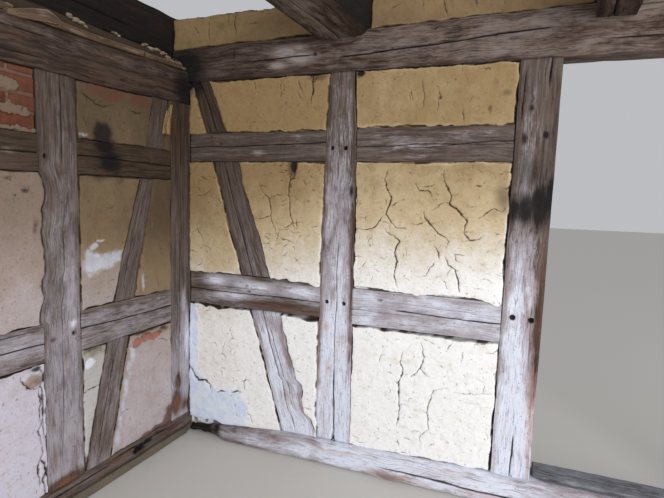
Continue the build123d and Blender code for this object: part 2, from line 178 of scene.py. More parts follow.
def closed_mesh(name, points, quads, fans, flat, tones, finish):
    """Mesh object of quads and triangles with its named tones and its flat coordinates in metres, which may
    bring their own quads and triangles. If the signed volume, the sum of p0·(p1×p2)/6, is negative, the
    faces are turned round."""
    flat, flat_quads, flat_fans = flat if isinstance(flat, tuple) else (flat, quads, fans)
    corners = np.concatenate([quads[:, [0, 1, 2]], quads[:, [0, 2, 3]], fans])
    a, b, c = points[corners[:, 0]], points[corners[:, 1]], points[corners[:, 2]]
    if np.sum(a * np.cross(b, c)) < 0:
        quads, fans, flat_quads, flat_fans = (f[:, ::-1] for f in (quads, fans, flat_quads, flat_fans))
    mesh = bpy.data.meshes.new(name)
    mesh.from_pydata(points, [], [*quads.tolist(), *fans.tolist()])
    loops = np.concatenate([flat_quads.ravel(), flat_fans.ravel()])
    layer = mesh.uv_layers.new(name="flat")
    layer.data.foreach_set("uv", flat[loops].astype(np.float32).ravel())
    for tone, values in tones.items():
        values_layer = mesh.attributes.new(tone, "FLOAT", "POINT")
        values_layer.data.foreach_set("value", np.ravel(values).astype(np.float32))
    mesh.shade_smooth()
    mesh.materials.append(finish)
    piece = bpy.data.objects.new(name, mesh)
    bpy.context.scene.collection.objects.link(piece)
    return piece


def placed(piece, slot, *nodes):
    """Ties a piece to the whole part and has it stand for its solids, if it has any. Its slot is not used.
    """
    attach(piece, "root")
    if nodes:
        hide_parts(*nodes)


def arris_radii(rng, length, span, wane, wanes, bites, seed):
    """Radius of the four arrises along a timber: uneven, and larger by size times exp(-(distance/reach)²)
    at each bite and at a random place about every 0.35 m."""
    start, end = span
    swing = [1.5 / max(1.0, wanes[k] / 2) for k in range(4)]
    radii = [wane * wanes[k] * (0.9 + swing[k] * uneven(length, k, 0.11, 1.0, seed + k)) for k in range(4)]
    radius = np.stack(radii, -1)
    for arris, bite_length, reach, size in bites:
        radius[:, arris] += size * np.exp(-(((length - bite_length) / reach) ** 2))
    bite_every = 0.35
    for _ in range(int((end - start) / bite_every)):
        bite, arris = rng.uniform(0.004, 0.012), rng.integers(4)
        away = (length - rng.uniform(start, end)) / rng.uniform(0.01, 0.05)
        radius[:, arris] += bite * np.exp(-(away**2))
    return radius


def small_shakes(rng, start, end):
    """Random shakes on each side of a timber, fewer of them in front: a side, a start and an end, a share of
    the side's width at both, a width and a depth."""
    cuts = []
    for k in range(4):
        wanted = rng.integers(1, 3) + (end - start) * 1.1
        for _ in range(int(wanted * (0.4 if k == 0 else 1.0))):
            begin, from_share = rng.uniform(start, end - 0.1), rng.uniform(0.12, 0.88)
            finish_at, to_share = begin + rng.uniform(0.15, 0.7), from_share + rng.uniform(-0.05, 0.05)
            mouth, sink = rng.uniform(0.0012, 0.0022), rng.uniform(0.003, 0.007)
            cuts.append((k, begin, finish_at, from_share, to_share, mouth, sink))
    return cuts


SHAKE_REACH = 0.011
SHAKE_FADE = 0.1


def cut_shakes(cuts, length, side, faces, flanks, seed):
    """How deep and how dark the shakes make each point: depth times exp(-(distance to its line/width)²).
    The columns near a shake are drawn in to its line, in the arrays themselves, a distance x becoming
    R(x/R)², so that its lips are sharp. faces has how far across the points are and the timber's two edges,
    flanks how deep they are and its front and back."""
    sunk, split = np.zeros(faces[0].shape), np.zeros(faces[0].shape)
    for number, (cut_side, begin, finish_at, from_share, to_share, wide, sink) in enumerate(cuts):
        columns = np.flatnonzero(side == cut_side)
        track, (low_track, high_track) = faces if cut_side in (0, 2) else flanks
        part = np.clip((length - begin) / (finish_at - begin), 0, 1)
        centre = low_track + (high_track - low_track) * (from_share + (to_share - from_share) * part)
        centre = centre + 0.007 * uneven(length, number, 0.16, 1.0, seed + 31)
        centre = centre + 0.002 * uneven(length, number, 0.025, 1.0, seed + 32)
        active = smooth((length - begin) / SHAKE_FADE) * smooth((finish_at - length) / SHAKE_FADE)
        apart = track[:, columns] - centre[:, None]
        pulled = np.sign(apart) * SHAKE_REACH * (np.abs(apart) / SHAKE_REACH) ** 2.0
        pulled = np.where(np.abs(apart) < SHAKE_REACH, pulled, apart)
        apart = apart + (pulled - apart) * active[:, None]
        track[:, columns] = centre[:, None] + apart
        mouth = wide * (0.75 + 0.9 * (0.5 + uneven(length, number, 0.07, 1.0, seed + 33)))
        near = active[:, None] * np.exp(-((apart / mouth[:, None]) ** 2))
        sunk[:, columns] = np.maximum(sunk[:, columns], sink * near)
        # The split share is painted shade in the shake.
        wider = active[:, None] * np.exp(-((apart / (1.1 * mouth[:, None])) ** 2))
        strength = min(1.0, sink / 0.01)
        split[:, columns] = np.maximum(split[:, columns], strength * wider)
    return sunk, split


cross_depth = 0.16
END_SHARES = (0.2, 0.55, 0.85, 0.985)
ROW_STEP = 0.012
PEG_HOLE_DEPTH = 0.03


def timber(
    name, place, span, edges, finish, seed, front=0.0, back=cross_depth, wane=0.007, wanes=(1, 1, 1, 1),
    shakes=(), pegs=(), bites=(), bleach=(0.2, 0.2), pale=(), rust=(), soot=(),
    pitch=(0.0036, 0.012, 0.012, 0.012), hewn=0.004, fibre=0.001, joined=(), smoked=1.0, lively=1.0, arc=3,
):
    """A hewn beam as a rounded section carried along its length, closed at both ends. Every surface point
    is moved inwards by broad hewing noise, by fine noise stretched along the grain, by the shakes and by the
    peg holes. Sides are numbered from the front over the high edge to the back and the low edge, and pitch
    is how wide a column is on each of them.

    A shake is its side, its start and end, its share of the side's width at both, its width and its depth.
    wane is the radius of the arrises and wanes each one's share of it, from the low front arris round, and
    a bite is an arris, a place, a reach and a size. A peg's hole is its place across, its place along and
    its radius. bleach says how pale the wood is painted at the foot and 2.2 m up or along the wall: partly
    chalk and partly painted light, paler low down. smoked says how dark its upper parts are painted, partly
    smoke and partly painted shade. lively says how strongly its streaks vary, joined which sides lie in a
    joint, where they are painted dark as the joint's shade, and pale, rust and soot where spots are: a place
    along, a height, its reach in both and a strength. Some soot spots are painted shade."""
    rng = np.random.default_rng(seed)
    start, end = span
    low, high = edges
    rows = [np.arange(start, end, ROW_STEP), [end]]
    for _, peg_length, radius in pegs:
        rows.append(peg_length + np.linspace(-1.4, 1.4, 13) * radius)
    length = np.unique(np.clip(np.concatenate(rows), start, end))
    length = length[np.concatenate([[True], np.diff(length) > 0.0012])]
    shrink = np.concatenate([END_SHARES, np.ones(len(length)), END_SHARES[::-1]])
    caps = len(END_SHARES)
    length = np.concatenate([np.full(caps, start), length, np.full(caps, end)])

    low_edge, high_edge = level(low, length), level(high, length)
    front_edge, back_edge = level(front, length), level(back, length)
    width, depth = np.mean(high_edge - low_edge), np.mean(back_edge - front_edge)
    runs = [max(4, int(s / p)) for s, p in zip((width, depth, width, depth), pitch)]
    share, offset, normal, side = section_columns(runs, arc)

    radius = arris_radii(rng, length, span, wane, wanes, bites, seed)
    corner_across = np.stack([low_edge, high_edge, high_edge, low_edge], -1)
    corner_depth = np.stack([front_edge, front_edge, back_edge, back_edge], -1)
    across = corner_across @ share.T + radius @ offset[:, :, 0].T
    deep = corner_depth @ share.T + radius @ offset[:, :, 1].T
    rows_along = np.broadcast_to(length[:, None], across.shape).copy()

    cuts = [*shakes, *small_shakes(rng, start, end)]
    edges_across, edges_deep = (low_edge, high_edge), (front_edge, back_edge)
    sunk, split = cut_shakes(cuts, length, side, (across, edges_across), (deep, edges_deep), seed)
    for peg_across, peg_length, peg_radius in pegs:
        far = np.hypot(across - peg_across, rows_along - peg_length) / peg_radius
        hole = smooth((1.12 - far) / 0.3) * (side == 0)
        sunk = np.maximum(sunk, PEG_HOLE_DEPTH * hole)
        # A peg hole's split share is painted shade in it.
        split = np.maximum(split, 1.2 * hole)

    flat_across = across
    gap = np.hypot(np.diff(across, axis=1, append=across[:, :1]), np.diff(deep, axis=1, append=deep[:, :1]))
    girth = np.concatenate([[0.0], np.cumsum(gap.mean(0))[:-1]])[None, :] + 0 * across
    ridges = layered(girth, rows_along, seed, (1.0, 0.006, 0.16, 11), (0.6, 0.013, 0.35, 12))
    adzed = layered(girth, rows_along, seed, (1.0, 0.085, 0.3, 13), (0.5, 0.04, 0.11, 14))
    inwards = hewn * (0.75 + adzed) * 0.7 + fibre * (0.8 + ridges) + sunk
    across = across - inwards * normal[:, 0]
    deep = deep - inwards * normal[:, 1]

    middle_across = ((low_edge + high_edge) / 2)[:, None]
    middle_deep = ((front_edge + back_edge) / 2)[:, None]
    across = middle_across + (across - middle_across) * shrink[:, None]
    deep = middle_deep + (deep - middle_deep) * shrink[:, None]
    toward = np.where(np.arange(len(length)) < len(length) / 2, 1.0, -1.0)[:, None]
    sawn = (shrink < 0.99)[:, None] * (0.0015 + 0.003 * (0.5 + uneven(across, deep, 0.02, 0.02, seed + 15)))
    rows_along = rows_along + toward * sawn
    points = place(across, deep, rows_along)

    wall = place.__self__
    wall_along, height = (points - corner) @ wall.along, points[..., 2]
    # Paler towards the foot and darker high up: partly chalk, partly painted light.
    if callable(bleach):
        washed_and_lit = bleach(wall_along)
    else:
        washed_and_lit = bleach[0] + (bleach[1] - bleach[0]) * np.clip(height / 2.2, 0, 1)
    to_arris = np.minimum(flat_across - low_edge[:, None], high_edge[:, None] - flat_across)
    to_arris = to_arris + 0.016 * uneven(rows_along, side * 1.0, 0.09, 1.0, seed + 17)
    tones = {
        "split": split,
        "ridge": ridges,
        "pale": washed_and_lit + dabs(wall_along, height, pale),
        "arris": lively * np.where(side == 0, np.exp(-((np.maximum(to_arris, 0) / 0.024) ** 2)), 0.4),
        "lively": np.full(across.shape, lively),
        "soot": dabs(wall_along, height, soot),
        "rust": dabs(wall_along, height, rust),
        "end": np.broadcast_to((shrink < 0.99)[:, None], across.shape).astype(float),
        # Sides in a joint are painted dark where they pass into it: painted shade.
        "joint": smooth((deep - front_edge[:, None] - 0.004) / 0.012) * np.isin(side, joined),
        # Darker from 0.9 m up and towards the corner: partly smoke, partly painted shade.
        "smoked": smoked * smooth((height - 0.9) / 1.2) * wall.shade(wall_along),
    }
    flat_length = rows_along - toward * (1 - shrink[:, None]) * 0.1
    flat = np.stack([girth + 1.7 * (seed % 13), flat_length + 2.3 * (seed % 7)], -1)
    seam = flat[:, :1].copy()
    seam[..., 0] += float(gap.mean(0).sum())
    flat = np.concatenate([flat, seam], 1)

    # The flat coordinates have one more column than the points, so that they don't fold back at the seam
    index, flat_index = (np.arange(grid[..., 0].size).reshape(grid.shape[:2]) for grid in (points, flat))
    quads, flat_quads = tube(index), cells(flat_index)
    fans, flat_fans = end_caps(index, index.size), end_caps(flat_index[:, :-1], flat_index.size)
    points = np.concatenate([points.reshape(-1, 3), points[[0, -1]].mean(1)])
    flat = np.concatenate([flat.reshape(-1, 2), flat[[0, -1]].mean(1)])
    tones = {key: np.concatenate([t.ravel(), t[[0, -1]].mean(1)]) for key, t in tones.items()}
    return closed_mesh(name, points, quads, fans, (flat, flat_quads, flat_fans), tones, finish)


def fitted(slot, name, *dimensions, **look):
    """A timber in its place, which stands for the solid of its name."""
    placed(timber(name, *dimensions, **look), slot, name)


class Tone:
    """An output in a material's node tree; arithmetic on it adds the Math nodes that work it out."""

    def __init__(self, tree, socket):
        self.tree = tree
        self.socket = socket

    def node(self, kind, settings, inputs, output=0):
        """A node of that kind: its settings are set first, then the values or links of its inputs."""
        made = self.tree.nodes.new("ShaderNode" + kind)
        for key, value in settings.items():
            setattr(made, key, value)
        for key, value in inputs.items():
            if isinstance(value, Tone):
                self.tree.links.new(value.socket, made.inputs[key])
            else:
                made.inputs[key].default_value = value
        return Tone(self.tree, made.outputs[output])

    def maths(self, operation, first, second):
        return self.node("Math", {"operation": operation}, {0: first, 1: second})

    def __add__(self, other):
        return self.maths("ADD", self, other)

    def __radd__(self, other):
        return self.maths("ADD", other, self)

    def __sub__(self, other):
        return self.maths("SUBTRACT", self, other)

    def __rsub__(self, other):
        return self.maths("SUBTRACT", other, self)

    def __mul__(self, other):
        return self.maths("MULTIPLY", self, other)

    def __rmul__(self, other):
        return self.maths("MULTIPLY", other, self)

    def fade(self, start, end):
        """From 0 at the start value to 1 at the end value, smoothly."""
        return self.node(
            "MapRange", {"interpolation_type": "SMOOTHSTEP"},
            {"Value": self, "From Min": start, "From Max": end},
        )

    def scaled(self, x, y, z):
        """A vector times three numbers."""
        return self.node("VectorMath", {"operation": "MULTIPLY"}, {0: self, 1: (x, y, z)})

    def noise(self, scale, detail, roughness, distortion=0.0):
        """Noise on this vector."""
        settings = {"Scale": scale, "Detail": detail, "Roughness": roughness, "Distortion": distortion}
        return self.node("TexNoise", {}, {"Vector": self, **settings})


def blend(share, first, second, kind="MIX"):
    """The first colour, going by a share to the second, or to its product with the second."""
    return share.node(
        "Mix", {"data_type": "RGBA", "blend_type": kind}, {0: share, 6: first, 7: second}, output=2
    )


def shade(red, green, blue):
    """A colour as the eye reads it, from 0 to 255, as a shader's linear one."""
    channels = [
        ((v / 255 + 0.055) / 1.055) ** 2.4 if v > 10 else v / 255 / 12.92 for v in (red, green, blue)
    ]
    return (*channels, 1.0)


def tinted(share, colour, *tint):
    """The colour, going by a share to its product with a tint."""
    return blend(share, colour, shade(*tint), "MULTIPLY")


def coated(share, colour, *coat):
    """The colour, going by a share to a coat of another."""
    return blend(share, colour, shade(*coat))


def new_finish(name, roughness):
    """An empty material with its shader, and the place of each point of the piece."""
    material = bpy.data.materials.new(name)
    material.use_nodes = True
    tree = material.node_tree
    shader = next(n for n in tree.nodes if n.type == "BSDF_PRINCIPLED")
    shader.inputs["Roughness"].default_value = roughness
    shader.inputs["Specular IOR Level"].default_value = 0.25
    place = Tone(tree, tree.nodes.new("ShaderNodeTexCoord").outputs["Object"])
    return material, shader, place


def attribute(place, name):
    """A tone that the mesh carries at its points."""
    return place.node("Attribute", {"attribute_name": name}, {}, output=2)


def finished(shader, colour, height, strength, distance):
    """Colour and bump go to the shader."""
    bump = height.node("Bump", {}, {"Height": height, "Strength": strength, "Distance": distance})
    height.tree.links.new(colour.socket, shader.inputs["Base Color"])
    height.tree.links.new(bump.socket, shader.inputs["Normal"])


def oak(name, *colours):
    """Old hewn oak: dark, middle and light streaks along the grain, worn fibres with chalk rubbed in, black
    pores, painted shade in the shakes, the peg holes and the joints, rings on the cut ends, and rust, smoke
    and soot by the mesh's tones, the smoke and soot tones also painting shade high up, in the room's corner
    and on shaded sides. Flat coordinates run across the grain and along it in metres."""
    dark, middle, light, worn, chalk = (shade(*colour) for colour in colours)
    material, shader, place = new_finish(name, 0.88)
    flat = Tone(place.tree, place.tree.nodes.new("ShaderNodeTexCoord").outputs["UV"])
    bands = flat.scaled(62.0, 3.2, 1.0).noise(1.0, 5.0, 0.62, 0.25)
    streaks = flat.scaled(170.0, 9.0, 1.0).noise(1.0, 5.0, 0.68, 0.2)
    pores = flat.scaled(420.0, 26.0, 1.0).noise(1.0, 3.0, 0.6)
    clouds = place.noise(6.5, 5.0, 0.65)
    blotches = flat.scaled(30.0, 11.0, 1.0).noise(1.0, 5.0, 0.7, 0.3)
    patches = flat.scaled(15.0, 3.4, 1.0).noise(1.0, 4.0, 0.62, 0.5)
    specks = place.noise(95.0, 3.0, 0.6)
    ridge = attribute(place, "ridge")
    colour = blend((bands + (blotches - 0.5) * 0.5).fade(0.36, 0.64), dark, middle)
    colour = blend((streaks + 0.25 * ridge).fade(0.5, 0.78) * 0.45, colour, light)
    flecks = flat.scaled(118.0, 17.0, 1.0).noise(1.0, 4.0, 0.7, 0.1)
    arris = attribute(place, "arris")
    lively = attribute(place, "lively")
    mottled = (patches - 0.5) * 1.1 + (clouds - 0.5) * 0.6 + (blotches - 0.5) * 0.8 + (streaks - 0.5) * 1.4
    chalky = attribute(place, "pale") + lively * mottled - arris * 0.3 - attribute(place, "rust") * 0.35
    colour = blend(chalky.fade(0.2, 0.8), colour, worn)
    chalked = (chalky + (clouds - 0.5) * 0.9).fade(0.7, 1.45)
    # Chalk and its streaks are tinted blue: partly the chalk's colour, partly painted bluish daylight.
    colour = blend(chalked * 0.94, colour, chalk)
    colour = tinted(chalked * streaks.fade(0.5, 0.36) * 0.55, colour, 188, 192, 212)
    colour = tinted((streaks + 0.2 * ridge).fade(0.45, 0.26) * 0.55, colour, 172, 162, 162)
    colour = tinted(lively * patches.fade(0.52, 0.34) * 0.6, colour, 238, 222, 214)
    brown = arris + (blotches - 0.5) * 0.9
    colour = tinted(brown.fade(0.25, 0.95) * 0.7, colour, 206, 190, 180)
    colour = tinted(flecks.fade(0.58, 0.68) * 0.75, colour, 148, 138, 142)
    colour = coated(pores.fade(0.42, 0.26) * 0.5, colour, 58, 48, 44)
    rusty = attribute(place, "rust") + (blotches - 0.5) * 1.7 + (streaks - 0.5) * 1.3
    colour = tinted(rusty.fade(0.35, 1.2) * 0.8, colour, 226, 190, 176)
    colour = coated(rusty.fade(1.45, 2.3) * 0.85, colour, 124, 84, 62)
    rings = place.noise(140.0, 2.0, 0.5)
    colour = blend(attribute(place, "end") * rings.fade(0.4, 0.62) * 0.6, colour, dark)
    # Smoke tint of the upper timbers: partly their old smoke, partly painted shade high up and by the
    # corner.
    colour = tinted(attribute(place, "smoked") * 0.6, colour, 172, 157, 138)
    # Soot: real soot marks, and painted shade in the room's corner and on shaded joist sides.
    soot_and_shade_share = attribute(place, "soot") + (blotches - 0.5) * 1.5 + (streaks - 0.5) * 2.2
    colour = coated(soot_and_shade_share.fade(0.3, 1.2) * 0.94, colour, 19, 17, 17)
    colour = coated(specks.fade(0.64, 0.71) * 0.65, colour, 52, 43, 39)
    # Faces hidden in a joint: painted shade.
    colour = coated(attribute(place, "joint") * 0.85, colour, 40, 31, 26)
    # Shakes and peg holes: painted shade.
    colour = coated(attribute(place, "split").fade(0.15, 0.75) * 0.93, colour, 28, 21, 18)
    finished(shader, colour, streaks * 0.6 + pores * 0.5 + bands * 0.4 + blotches * 0.4, 0.45, 0.003)
    return material


wall_oak = oak("wall_oak", (88, 77, 71), (118, 106, 100), (152, 140, 136), (178, 172, 180), (236, 241, 255))
# Darker copy of the oak for timbers under the ceiling: partly their smoke, partly painted shade.
dark_oak = oak("smoked_oak", (60, 48, 42), (94, 77, 68), (124, 106, 96), (136, 122, 116), (172, 164, 162))

sill_top = line((0.0, 0.062), (0.65, 0.14), (1.85, 0.163), (3.2, 0.163))
fitted(
    "grey_oak", "cross_wall_sill", cross_wall.lying, (0.004, 3.196), (0.0, sill_top), wall_oak, seed=5,
    front=line((0.0, 0.004), (0.19, -0.002), (0.25, -0.026), (0.29, -0.03), (3.2, -0.03)), wane=0.01,
    wanes=(1.6, 1.4, 1, 1),
    shakes=[
        (0, 1.25, 2.15, 0.42, 0.3, 0.004, 0.014), (1, 0.9, 1.7, 0.2, 0.3, 0.003, 0.01),
        (0, 2.2, 3.0, 0.6, 0.5, 0.003, 0.01),
    ],
    bites=[
        (1, 0.02, 0.05, 0.045), (1, 0.12, 0.05, 0.04), (1, 0.2, 0.03, 0.02), (0, 0.1, 0.08, 0.03),
        (1, 0.36, 0.05, 0.015), (0, 0.75, 0.06, 0.02), (1, 0.95, 0.05, 0.012),
    ],
    # Paler away from the room's corner, most under the right bay: partly chalk, partly painted light.
    bleach=line((0.2, 0.55), (0.45, 0.8), (0.8, 1.15), (1.1, 1.55), (1.85, 1.55), (2.15, 0.95), (3.2, 0.9)),
    rust=[
        (1.35, 0.03, 0.3, 0.035, 0.9), (1.8, 0.04, 0.25, 0.04, 0.8), (2.1, 0.05, 0.15, 0.05, 0.6),
        (0.62, 0.1, 0.12, 0.03, 0.8), (0.45, 0.11, 0.08, 0.03, 0.7), (0.95, 0.12, 0.12, 0.03, 0.5),
    ],
    soot=[
        (0.02, 0.03, 0.1, 0.09, 1.3), (0.12, 0.04, 0.09, 0.08, 1.4), (0.2, 0.05, 0.05, 0.06, 1.2),
        (0.3, 0.1, 0.05, 0.02, 0.5),
    ],
)

# Posts of the cross wall: squared oaks with waney arrises, the middle one tapering from its foot. The rails
# are tenoned into them, and the peg holes of those joints show as pairs of dark dots.
peg = 0.011
girt_bottom = 2.185
door_far = 3.01
post_top = girt_bottom + 0.004
middle_left = line(
    (0.15, 0.886), (0.32, 0.877), (0.82, 0.881), (1.1, 0.884), (1.35, 0.889), (1.74, 0.896), (1.89, 0.901),
    (2.185, 0.916),
)
middle_right = line(
    (0.15, 1.092), (1.04, 1.084), (1.74, 1.08), (1.89, 1.077), (2.09, 1.061), (2.185, 1.056)
)
door_left = line((0.15, 1.85), (2.185, 1.87))
door_right = line((0.15, 2.04), (2.185, 2.06))
fitted(
    "grey_oak", "middle_post", cross_wall.upright, (0.14, post_top), (middle_left, middle_right), wall_oak,
    seed=21,
    shakes=[
        (0, 0.05, 0.23, 0.5, 0.5, 0.0065, 0.022), (0, 0.13, 0.62, 0.52, 0.5, 0.003, 0.016),
        (0, 0.52, 1.35, 0.5, 0.52, 0.0015, 0.008), (0, 1.5, 2.1, 0.42, 0.44, 0.0012, 0.003),
    ],
    pegs=[(0.938, 1.79, peg), (1.0135, 1.789, peg), (0.9275, 0.942, peg), (1.029, 0.941, peg)],
    bites=[(0, 0.2, 0.03, 0.012), (1, 1.53, 0.03, 0.012)], bleach=(1.3, 0.2), joined=(1, 3), smoked=0.4,
    # The broad pale dab over the foot is partly chalk and partly painted light.
    pale=[(0.98, 0.28, 0.5, 0.3, 0.8), (0.97, 0.74, 0.09, 0.22, 0.75), (1.0, 1.08, 0.06, 0.26, 0.35)],
    soot=[
        (0.93, 2.04, 0.02, 0.02, 0.45), (1.056, 1.56, 0.014, 0.045, 1.3), (0.903, 1.555, 0.01, 0.03, 0.8)
    ],
    rust=[(1.078, 1.2, 0.018, 0.75, 1.1), (0.886, 0.7, 0.01, 0.5, 0.8), (0.93, 0.8, 0.03, 0.06, 0.9)],
)

fitted(
    "grey_oak", "door_post", cross_wall.upright, (0.15, post_top), (door_left, door_right), wall_oak,
    seed=34,
    shakes=[
        (0, 0.1, 0.42, 0.5, 0.5, 0.0026, 0.014), (0, 1.86, 2.19, 0.13, 0.2, 0.002, 0.008),
        (0, 2.02, 2.24, 0.7, 0.74, 0.003, 0.014), (0, 1.48, 1.72, 0.62, 0.6, 0.0014, 0.004),
        (0, 0.62, 1.06, 0.74, 0.7, 0.0014, 0.005),
    ],
    pegs=[(1.91, 0.966, 1.25 * peg), (1.996, 0.961, 1.2 * peg)],
    bites=[(1, 0.6, 0.3, 0.012), (1, 1.2, 0.15, 0.01)], bleach=(1.3, -0.25), joined=(3,),
    # The broad pale dab over the foot is partly chalk and partly painted light.
    pale=[(1.94, 0.35, 0.5, 0.42, 0.75), (1.92, 1.0, 0.08, 0.36, 0.65), (1.945, 1.88, 0.055, 0.34, 0.45)],
    soot=[
        (1.885, 1.495, 0.04, 0.075, 1.35), (1.94, 1.495, 0.05, 0.085, 1.6), (2.0, 1.515, 0.05, 0.105, 1.8),
        (2.045, 1.54, 0.03, 0.125, 1.5), (1.97, 1.66, 0.1, 0.11, 0.75), (2.03, 1.8, 0.02, 0.3, 0.45),
        (1.97, 2.0, 0.012, 0.1, 0.6), (1.912, 1.826, 0.018, 0.034, 1.25), (2.006, 1.84, 0.016, 0.02, 1.6),
        (1.936, 1.965, 0.014, 0.018, 1.35), (1.875, 1.8, 0.01, 0.35, 0.6),
    ],
    rust=[(2.034, 0.8, 0.038, 0.62, 1.42), (2.03, 1.9, 0.04, 0.4, 0.6)],
)

fitted(
    "grey_oak", "far_door_post", cross_wall.upright, (0.15, post_top), (door_far, door_far + 0.19),
    wall_oak, seed=47, bleach=(1.5, 0.05), pitch=(0.006, 0.012, 0.012, 0.008),
)

# Rails and brace of the cross wall: sawn and hewn oaks, tenoned into the posts. The brace leans from the
# foot of the middle post into the corner with the bend it grew with, and both left rails are halved over
# its front.
rail_high = {"left": (1.715, 1.885), "right": (1.715, 1.895)}
rail_low = {"left": (0.845, 1.045), "right": (0.833, 1.035)}
brace_left = line(
    (0.13, 0.663), (0.49, 0.553), (0.84, 0.445), (1.04, 0.38), (1.34, 0.28), (1.71, 0.179), (1.89, 0.117),
    (1.99, 0.082), (2.09, 0.051), (2.15, 0.03), (2.185, 0.012),
)
brace_right = line(
    (0.14, 0.876), (0.18, 0.872), (0.24, 0.848), (0.275, 0.806), (0.35, 0.785), (0.4, 0.792), (0.44, 0.78),
    (0.465, 0.745), (0.53, 0.728), (0.6, 0.706), (0.66, 0.683), (0.71, 0.676), (0.74, 0.66), (0.79, 0.65),
    (0.85, 0.64), (1.06, 0.571), (1.12, 0.541), (1.28, 0.497), (1.41, 0.444), (1.55, 0.392), (1.7, 0.35),
    (1.8, 0.3), (1.89, 0.262), (1.99, 0.224), (2.085, 0.186), (2.185, 0.138),
)


def passing_under(*spans):
    """Front of a timber that is cut back where others are halved over it."""
    cut, joint = 0.035, 0.004
    points = []
    for lower, upper in spans:
        points += [(lower, 0.002), (lower + joint, cut), (upper - joint, cut), (upper, 0.002)]
    return line(*points)


fitted(
    "grey_oak", "cross_wall_brace", cross_wall.upright, (0.115, post_top), (brace_left, brace_right),
    wall_oak, seed=52, front=passing_under(rail_low["left"], rail_high["left"]), wanes=(0.8, 1.6, 1, 1),
    shakes=[
        (0, 0.12, 0.9, 0.42, 0.38, 0.0022, 0.013), (0, 0.8, 1.72, 0.36, 0.44, 0.002, 0.011),
        (0, 0.3, 0.8, 0.62, 0.5, 0.0016, 0.008), (0, 1.78, 2.3, 0.6, 0.38, 0.0036, 0.018),
    ],
    bites=[(1, 0.6, 0.02, 0.01), (1, 1.25, 0.04, 0.012)], bleach=(1.8, -1.1), joined=(1, 3), smoked=1.6,
    lively=0.85, pale=[(0.55, 0.62, 0.1, 0.3, 0.3)],
    # The soot dab at the brace's head is partly soot and partly painted shade in the room's corner.
    rust=[(0.7, 0.62, 0.03, 0.16, 0.9), (0.8, 0.34, 0.03, 0.1, 0.9)], soot=[(0.03, 2.17, 0.08, 0.1, 1.5)],
)

rails = {
    "upper_rail_left": dict(
        span=(0.002, 0.902), edges=rail_high["left"], seed=61,
        shakes=[(0, -0.1, 1.0, 0.48, 0.62, 0.0019, 0.009), (0, 0.3, 0.8, 0.25, 0.25, 0.0012, 0.005)],
        bleach=(0.0, 0.0), pale=[(0.48, 1.765, 0.06, 0.025, 0.6), (0.72, 1.86, 0.05, 0.015, 0.6)],
        soot=[
            (0.228, 1.819, 0.012, 0.012, 1.1), (0.157, 1.861, 0.01, 0.01, 1.0),
            (0.7, 1.87, 0.05, 0.012, 0.5),
        ],
    ),
    "lower_rail_left": dict(
        span=(0.002, 0.89), edges=rail_low["left"], seed=67, lively=0.6,
        shakes=[(0, -0.1, 1.0, 0.46, 0.45, 0.0019, 0.009), (0, 0.05, 0.6, 0.62, 0.6, 0.0014, 0.006)],
        bleach=(0.42, 0.42),
        pale=[
            (0.2, 1.0, 0.08, 0.035, 0.9), (0.47, 0.985, 0.12, 0.035, 0.9), (0.77, 0.98, 0.12, 0.035, 1.1),
            (0.3, 0.92, 0.14, 0.025, 0.7),
        ],
        rust=[
            (0.62, 0.885, 0.24, 0.028, 1.4), (0.5, 1.03, 0.06, 0.02, 1.0), (0.84, 0.87, 0.1, 0.03, 1.0),
            (0.06, 0.94, 0.08, 0.08, 0.7), (0.8, 1.03, 0.04, 0.012, 0.9),
        ],
        soot=[(0.415, 0.985, 0.018, 0.014, 0.8), (0.43, 0.955, 0.014, 0.012, 0.8)],
    ),
    "upper_rail_right": dict(
        span=(1.072, 1.866), edges=rail_high["right"], seed=73,
        shakes=[(0, 1.0, 2.0, 0.42, 0.58, 0.0017, 0.008), (0, 1.28, 1.95, 0.4, 0.5, 0.0015, 0.006)],
        bleach=(0.05, 0.05),
        pale=[
            (1.4, 1.81, 0.24, 0.045, 0.45), (1.62, 1.86, 0.16, 0.025, 0.5), (1.45, 1.745, 0.12, 0.02, 0.4)
        ],
        rust=[(1.12, 1.8, 0.08, 0.07, 0.5), (1.8, 1.75, 0.08, 0.05, 0.4)],
    ),
    "lower_rail_right": dict(
        span=(1.076, 1.858), edges=rail_low["right"], seed=79,
        shakes=[
            (0, 1.28, 1.95, 0.5, 0.46, 0.0022, 0.012), (0, 1.0, 1.5, 0.4, 0.42, 0.0014, 0.006),
            (0, 1.2, 1.8, 0.72, 0.66, 0.0012, 0.005),
        ],
        bleach=(1.05, 1.05), lively=0.65, rust=[(1.3, 0.93, 0.5, 0.06, 0.5)],
        soot=[(1.24, 0.985, 0.02, 0.016, 0.8)],
    ),
}
for rail_name, rail in rails.items():
    look = {"lively": 0.9, "wanes": (1.1, 1.3, 1, 1), "joined": (1, 3), **rail}
    fitted("grey_oak", rail_name, cross_wall.lying, finish=wall_oak, **look)

